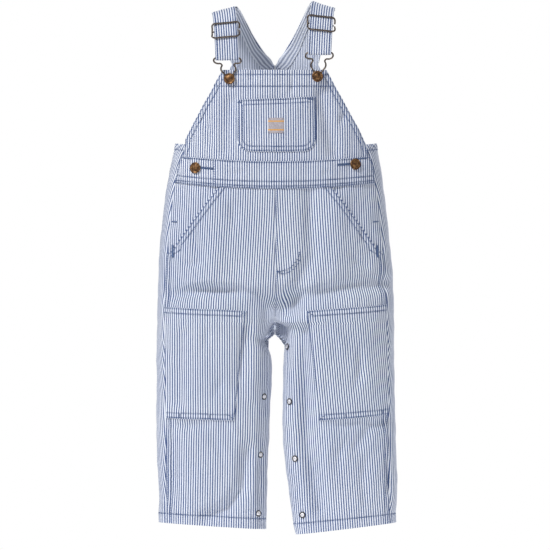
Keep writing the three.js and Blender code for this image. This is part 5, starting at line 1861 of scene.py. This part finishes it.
def rim_finish():
    metal = bpy.context.scene.overalls_metal
    dark = tuple(0.05 * c for c in metal.steel)
    dull = tuple(0.16 * c for c in metal.steel)
    return metal_finish("snap_rim", dull, dark, 420.0, 0.35, 0.7, (0.5, 0.4), 0.00002)


def paper_finish():
    finish = Finish("pale_floor", Roughness=0.9, Emission_Strength=0.3)
    finish.shader.inputs["Emission Color"].default_value = (1, 1, 1, 1)
    tone = finish.blend(finish.noise(3.0), (0.86, 0.86, 0.86, 1), (0.9, 0.9, 0.9, 1))
    finish.drive("Base Color", tone)
    return finish.material


FINISHES = {
    "twill": lambda: twill("striped_twill", 0.0),
    "twill_inside": lambda: twill("striped_twill_inside", 0.4),
    "thread": thread_finish,
    "label": label_finish,
    "antique_brass": brass_finish,
    "dark_wire": wire_finish,
    "snap_steel": steel_finish,
    "snap_rim": rim_finish,
}


@functools.cache
def finish_of(name):
    """Makes a finish the first time and gives the same one after that."""
    return FINISHES[name]()


class OVERALLS_OT_front_legs(bpy.types.Operator):
    """Builds the two front legs with their hems, pocket mouths and fly stitching"""

    bl_idname = "overalls.front_legs"
    bl_label = "Front legs"

    def execute(self, context):
        for side in (-1, 1):
            front_leg(side)
            sew("front_leg_thread_" + SIDE_NAMES[side], front_leg_sewing(side))
        sew("fly_thread", fly_sewing())
        return {"FINISHED"}


class OVERALLS_OT_backs(bpy.types.Operator):
    """Builds the two halves of the back, from the hem to the shoulder arms"""

    bl_idname = "overalls.backs"
    bl_label = "Backs"

    def execute(self, context):
        for side in (-1, 1):
            back(side)
            sew("back_thread_" + SIDE_NAMES[side], back_sewing(side))
        return {"FINISHED"}


class OVERALLS_OT_bib(bpy.types.Operator):
    """Builds the bib, its pocket and the label"""

    bl_idname = "overalls.bib"
    bl_label = "Bib, pocket and label"

    def execute(self, context):
        bib()
        bib_pocket()
        label()
        sew("bib_thread", bib_sewing())
        sew("bib_pocket_thread", [*bib_pocket_sewing(), *label_sewing()])
        return {"FINISHED"}


class OVERALLS_OT_waistband(bpy.types.Operator):
    """Builds the front waistband with its sewn rows and buttonholes"""

    bl_idname = "overalls.waistband"
    bl_label = "Waistband"

    def execute(self, context):
        waistband()
        sew("waistband_thread", waistband_sewing())
        return {"FINISHED"}


class OVERALLS_OT_patches(bpy.types.Operator):
    """Builds the two knee patches"""

    bl_idname = "overalls.patches"
    bl_label = "Knee patches"

    def execute(self, context):
        for side in (-1, 1):
            knee_patch(side)
            sew("knee_patch_thread_" + SIDE_NAMES[side], knee_patch_sewing(side))
        return {"FINISHED"}


class OVERALLS_OT_facings(bpy.types.Operator):
    """Builds the facings at the pockets, side openings, crotch and neck"""

    bl_idname = "overalls.facings"
    bl_label = "Facings and plackets"

    def execute(self, context):
        for side in (-1, 1):
            hip_pocket_facing(side)
            side_placket(side)
            crotch_facing(side)
            neck_facing(side)
        return {"FINISHED"}


class OVERALLS_OT_straps(bpy.types.Operator):
    """Builds the two shoulder straps"""

    bl_idname = "overalls.straps"
    bl_label = "Straps"

    def execute(self, context):
        for side in (-1, 1):
            strap(side)
            sew("strap_thread_" + SIDE_NAMES[side], strap_sewing(side))
        return {"FINISHED"}


class OVERALLS_OT_wires(bpy.types.Operator):
    """Bends the wire of the strap sliders and bib hooks"""

    bl_idname = "overalls.wires"
    bl_label = "Sliders and hooks"

    def execute(self, context):
        for side in (-1, 1):
            slider(side)
            hook(side)
        return {"FINISHED"}


class OVERALLS_OT_buttons(bpy.types.Operator):
    """Turns the tack buttons of the bib and the side openings"""

    bl_idname = "overalls.buttons"
    bl_label = "Buttons"

    def execute(self, context):
        for side in (-1, 1):
            name = SIDE_NAMES[side]
            for node, (x, height), shank, lift in (
                ("bib_button_" + name, STRAPS[side]["button"], BUTTON["shank_length"], 0.15),
                ("side_button_" + name, SIDE_BUTTON[side], 1.0, WAISTBAND_OUT - 0.2),
            ):
                seat, normal = surface(side, place_of_x(side, x, height), height)
                turned(node, button_profile(shank), seat, normal, lift, "antique_brass")
        return {"FINISHED"}


class OVERALLS_OT_snaps(bpy.types.Operator):
    """Turns the snaps of the inseam"""

    bl_idname = "overalls.snaps"
    bl_label = "Snaps"

    def execute(self, context):
        for node, side, inset, height in SNAPS:
            edge = body_point(side, 0, height)[0] * side
            seat, normal = surface(side, place_of_x(side, edge + inset, height), height)
            rings, rim = SNAP_RIM + SNAP_MIDDLE, (SNAP_CENTRE, "snap_rim")
            turned(node, rings, seat, normal, 0.15, "snap_steel", 32, rim)
        return {"FINISHED"}


FLOOR_BELOW = 0.07
FRAME_HEIGHT = 0.715  # what the photograph shows at the garment, top to bottom
PHOTO_MIDDLE = -0.3456  # the height of the photograph's middle
FRONT_REACH = 0.022  # the frame's height is right between the garment's front and its sides
SENSOR = 36.0


class OVERALLS_OT_stage(bpy.types.Operator):
    """Sets the floor, the soft light and the camera"""

    bl_idname = "overalls.stage"
    bl_label = "Stage"

    def execute(self, context):
        stage = context.scene.overalls_stage
        bpy.ops.object.select_all(action="DESELECT")
        bpy.ops.mesh.primitive_grid_add(x_subdivisions=8, y_subdivisions=8, size=2.2)
        floor = context.object
        floor.name = "floor"
        floor.data.transform(Matrix.Translation((0, 0, CAD_LOW.z - FLOOR_BELOW)))
        floor.data.materials.append(paper_finish())

        world = bpy.data.worlds.new("white_surround")
        world.use_nodes = True
        tree = world.node_tree
        surround = tree.nodes["Background"]
        surround.inputs["Color"].default_value = (1, 1, 1, 1)
        surround.inputs["Strength"].default_value = stage.surround
        seen = tree.nodes.new("ShaderNodeBackground")
        seen.inputs["Color"].default_value = (1, 1, 1, 1)
        choice = tree.nodes.new("ShaderNodeMixShader")
        rays = tree.nodes.new("ShaderNodeLightPath")
        tree.links.new(rays.outputs["Is Camera Ray"], choice.inputs[0])
        tree.links.new(surround.outputs[0], choice.inputs[1])
        tree.links.new(seen.outputs[0], choice.inputs[2])
        tree.links.new(choice.outputs[0], tree.nodes["World Output"].inputs[0])
        context.scene.world = world
        context.scene.view_settings.view_transform = "Standard"

        middle = Vector((0, 0, PHOTO_MIDDLE))
        for name, place, size, watts in (
            ("key_light", (-1.7, -1.75, 2.0), 0.6, stage.key_power),
            ("fill_light", (0.2, -2.6, -0.4), 1.2, stage.fill_power),
            ("inner_light", (0.0, 0.005, -0.3), 0.03, stage.inner_power),
            ("side_light", (2.4, 0.3, 0.7), 1.1, stage.side_power),
            ("back_light", (1.2, 1.9, 0.9), 1.1, stage.back_power),
        ):
            lamp = bpy.data.lights.new(name, "AREA")
            lamp.energy = watts
            lamp.size = size
            light = add(name, lamp)
            light.location = place
            light.visible_camera = False
            light.rotation_mode = "QUATERNION"
            light.rotation_quaternion = (middle - light.location).to_track_quat("-Z", "Y")

        camera = add("camera", bpy.data.cameras.new("camera"))
        camera.data.sensor_width = SENSOR
        camera.data.lens = SENSOR * (stage.camera_distance - FRONT_REACH) / FRAME_HEIGHT
        tilt = stage.camera_elevation
        away = Vector((0, -math.cos(tilt), math.sin(tilt)))
        camera.location = middle + away * stage.camera_distance
        camera.rotation_mode = "QUATERNION"
        camera.rotation_quaternion = (-away).to_track_quat("-Z", "Y")
        camera.data.clip_start = 0.05
        context.scene.camera = camera
        return {"FINISHED"}


STEPS = (
    OVERALLS_OT_front_legs,
    OVERALLS_OT_backs,
    OVERALLS_OT_bib,
    OVERALLS_OT_waistband,
    OVERALLS_OT_patches,
    OVERALLS_OT_facings,
    OVERALLS_OT_straps,
    OVERALLS_OT_wires,
    OVERALLS_OT_buttons,
    OVERALLS_OT_snaps,
    OVERALLS_OT_stage,
)


class OVERALLS_PT_panel(bpy.types.Panel):
    """Lists the sizes, the colours and the steps"""

    bl_idname = "OVERALLS_PT_panel"
    bl_label = "Kids bib overalls"
    bl_space_type = "VIEW_3D"
    bl_region_type = "UI"
    bl_category = "Overalls"

    def draw(self, context):
        for group_name, _ in GROUPS:
            group = getattr(context.scene, group_name)
            box = self.layout.box()
            for name in group.bl_rna.properties.keys():
                if name not in ("rna_type", "name"):
                    box.prop(group, name)
        for step in STEPS:
            self.layout.operator(step.bl_idname)


GROUPS = (
    ("overalls_cloth", OverallsCloth),
    ("overalls_metal", OverallsMetal),
    ("overalls_stage", OverallsStage),
)


def register():
    for _, group in GROUPS:
        bpy.utils.register_class(group)
    for cls in (*STEPS, OVERALLS_PT_panel):
        bpy.utils.register_class(cls)
    for name, group in GROUPS:
        setattr(bpy.types.Scene, name, bpy.props.PointerProperty(type=group))


def unregister():
    for name, _ in GROUPS:
        delattr(bpy.types.Scene, name)
    for cls in (OVERALLS_PT_panel, *reversed(STEPS)):
        bpy.utils.unregister_class(cls)
    for _, group in reversed(GROUPS):
        bpy.utils.unregister_class(group)


def main():
    register()
    bpy.ops.overalls.front_legs()
    bpy.ops.overalls.backs()
    bpy.ops.overalls.bib()
    bpy.ops.overalls.waistband()
    bpy.ops.overalls.patches()
    bpy.ops.overalls.facings()
    bpy.ops.overalls.straps()
    bpy.ops.overalls.wires()
    bpy.ops.overalls.buttons()
    bpy.ops.overalls.snaps()
    bpy.ops.overalls.stage()


if __name__ == "__main__":
    main()
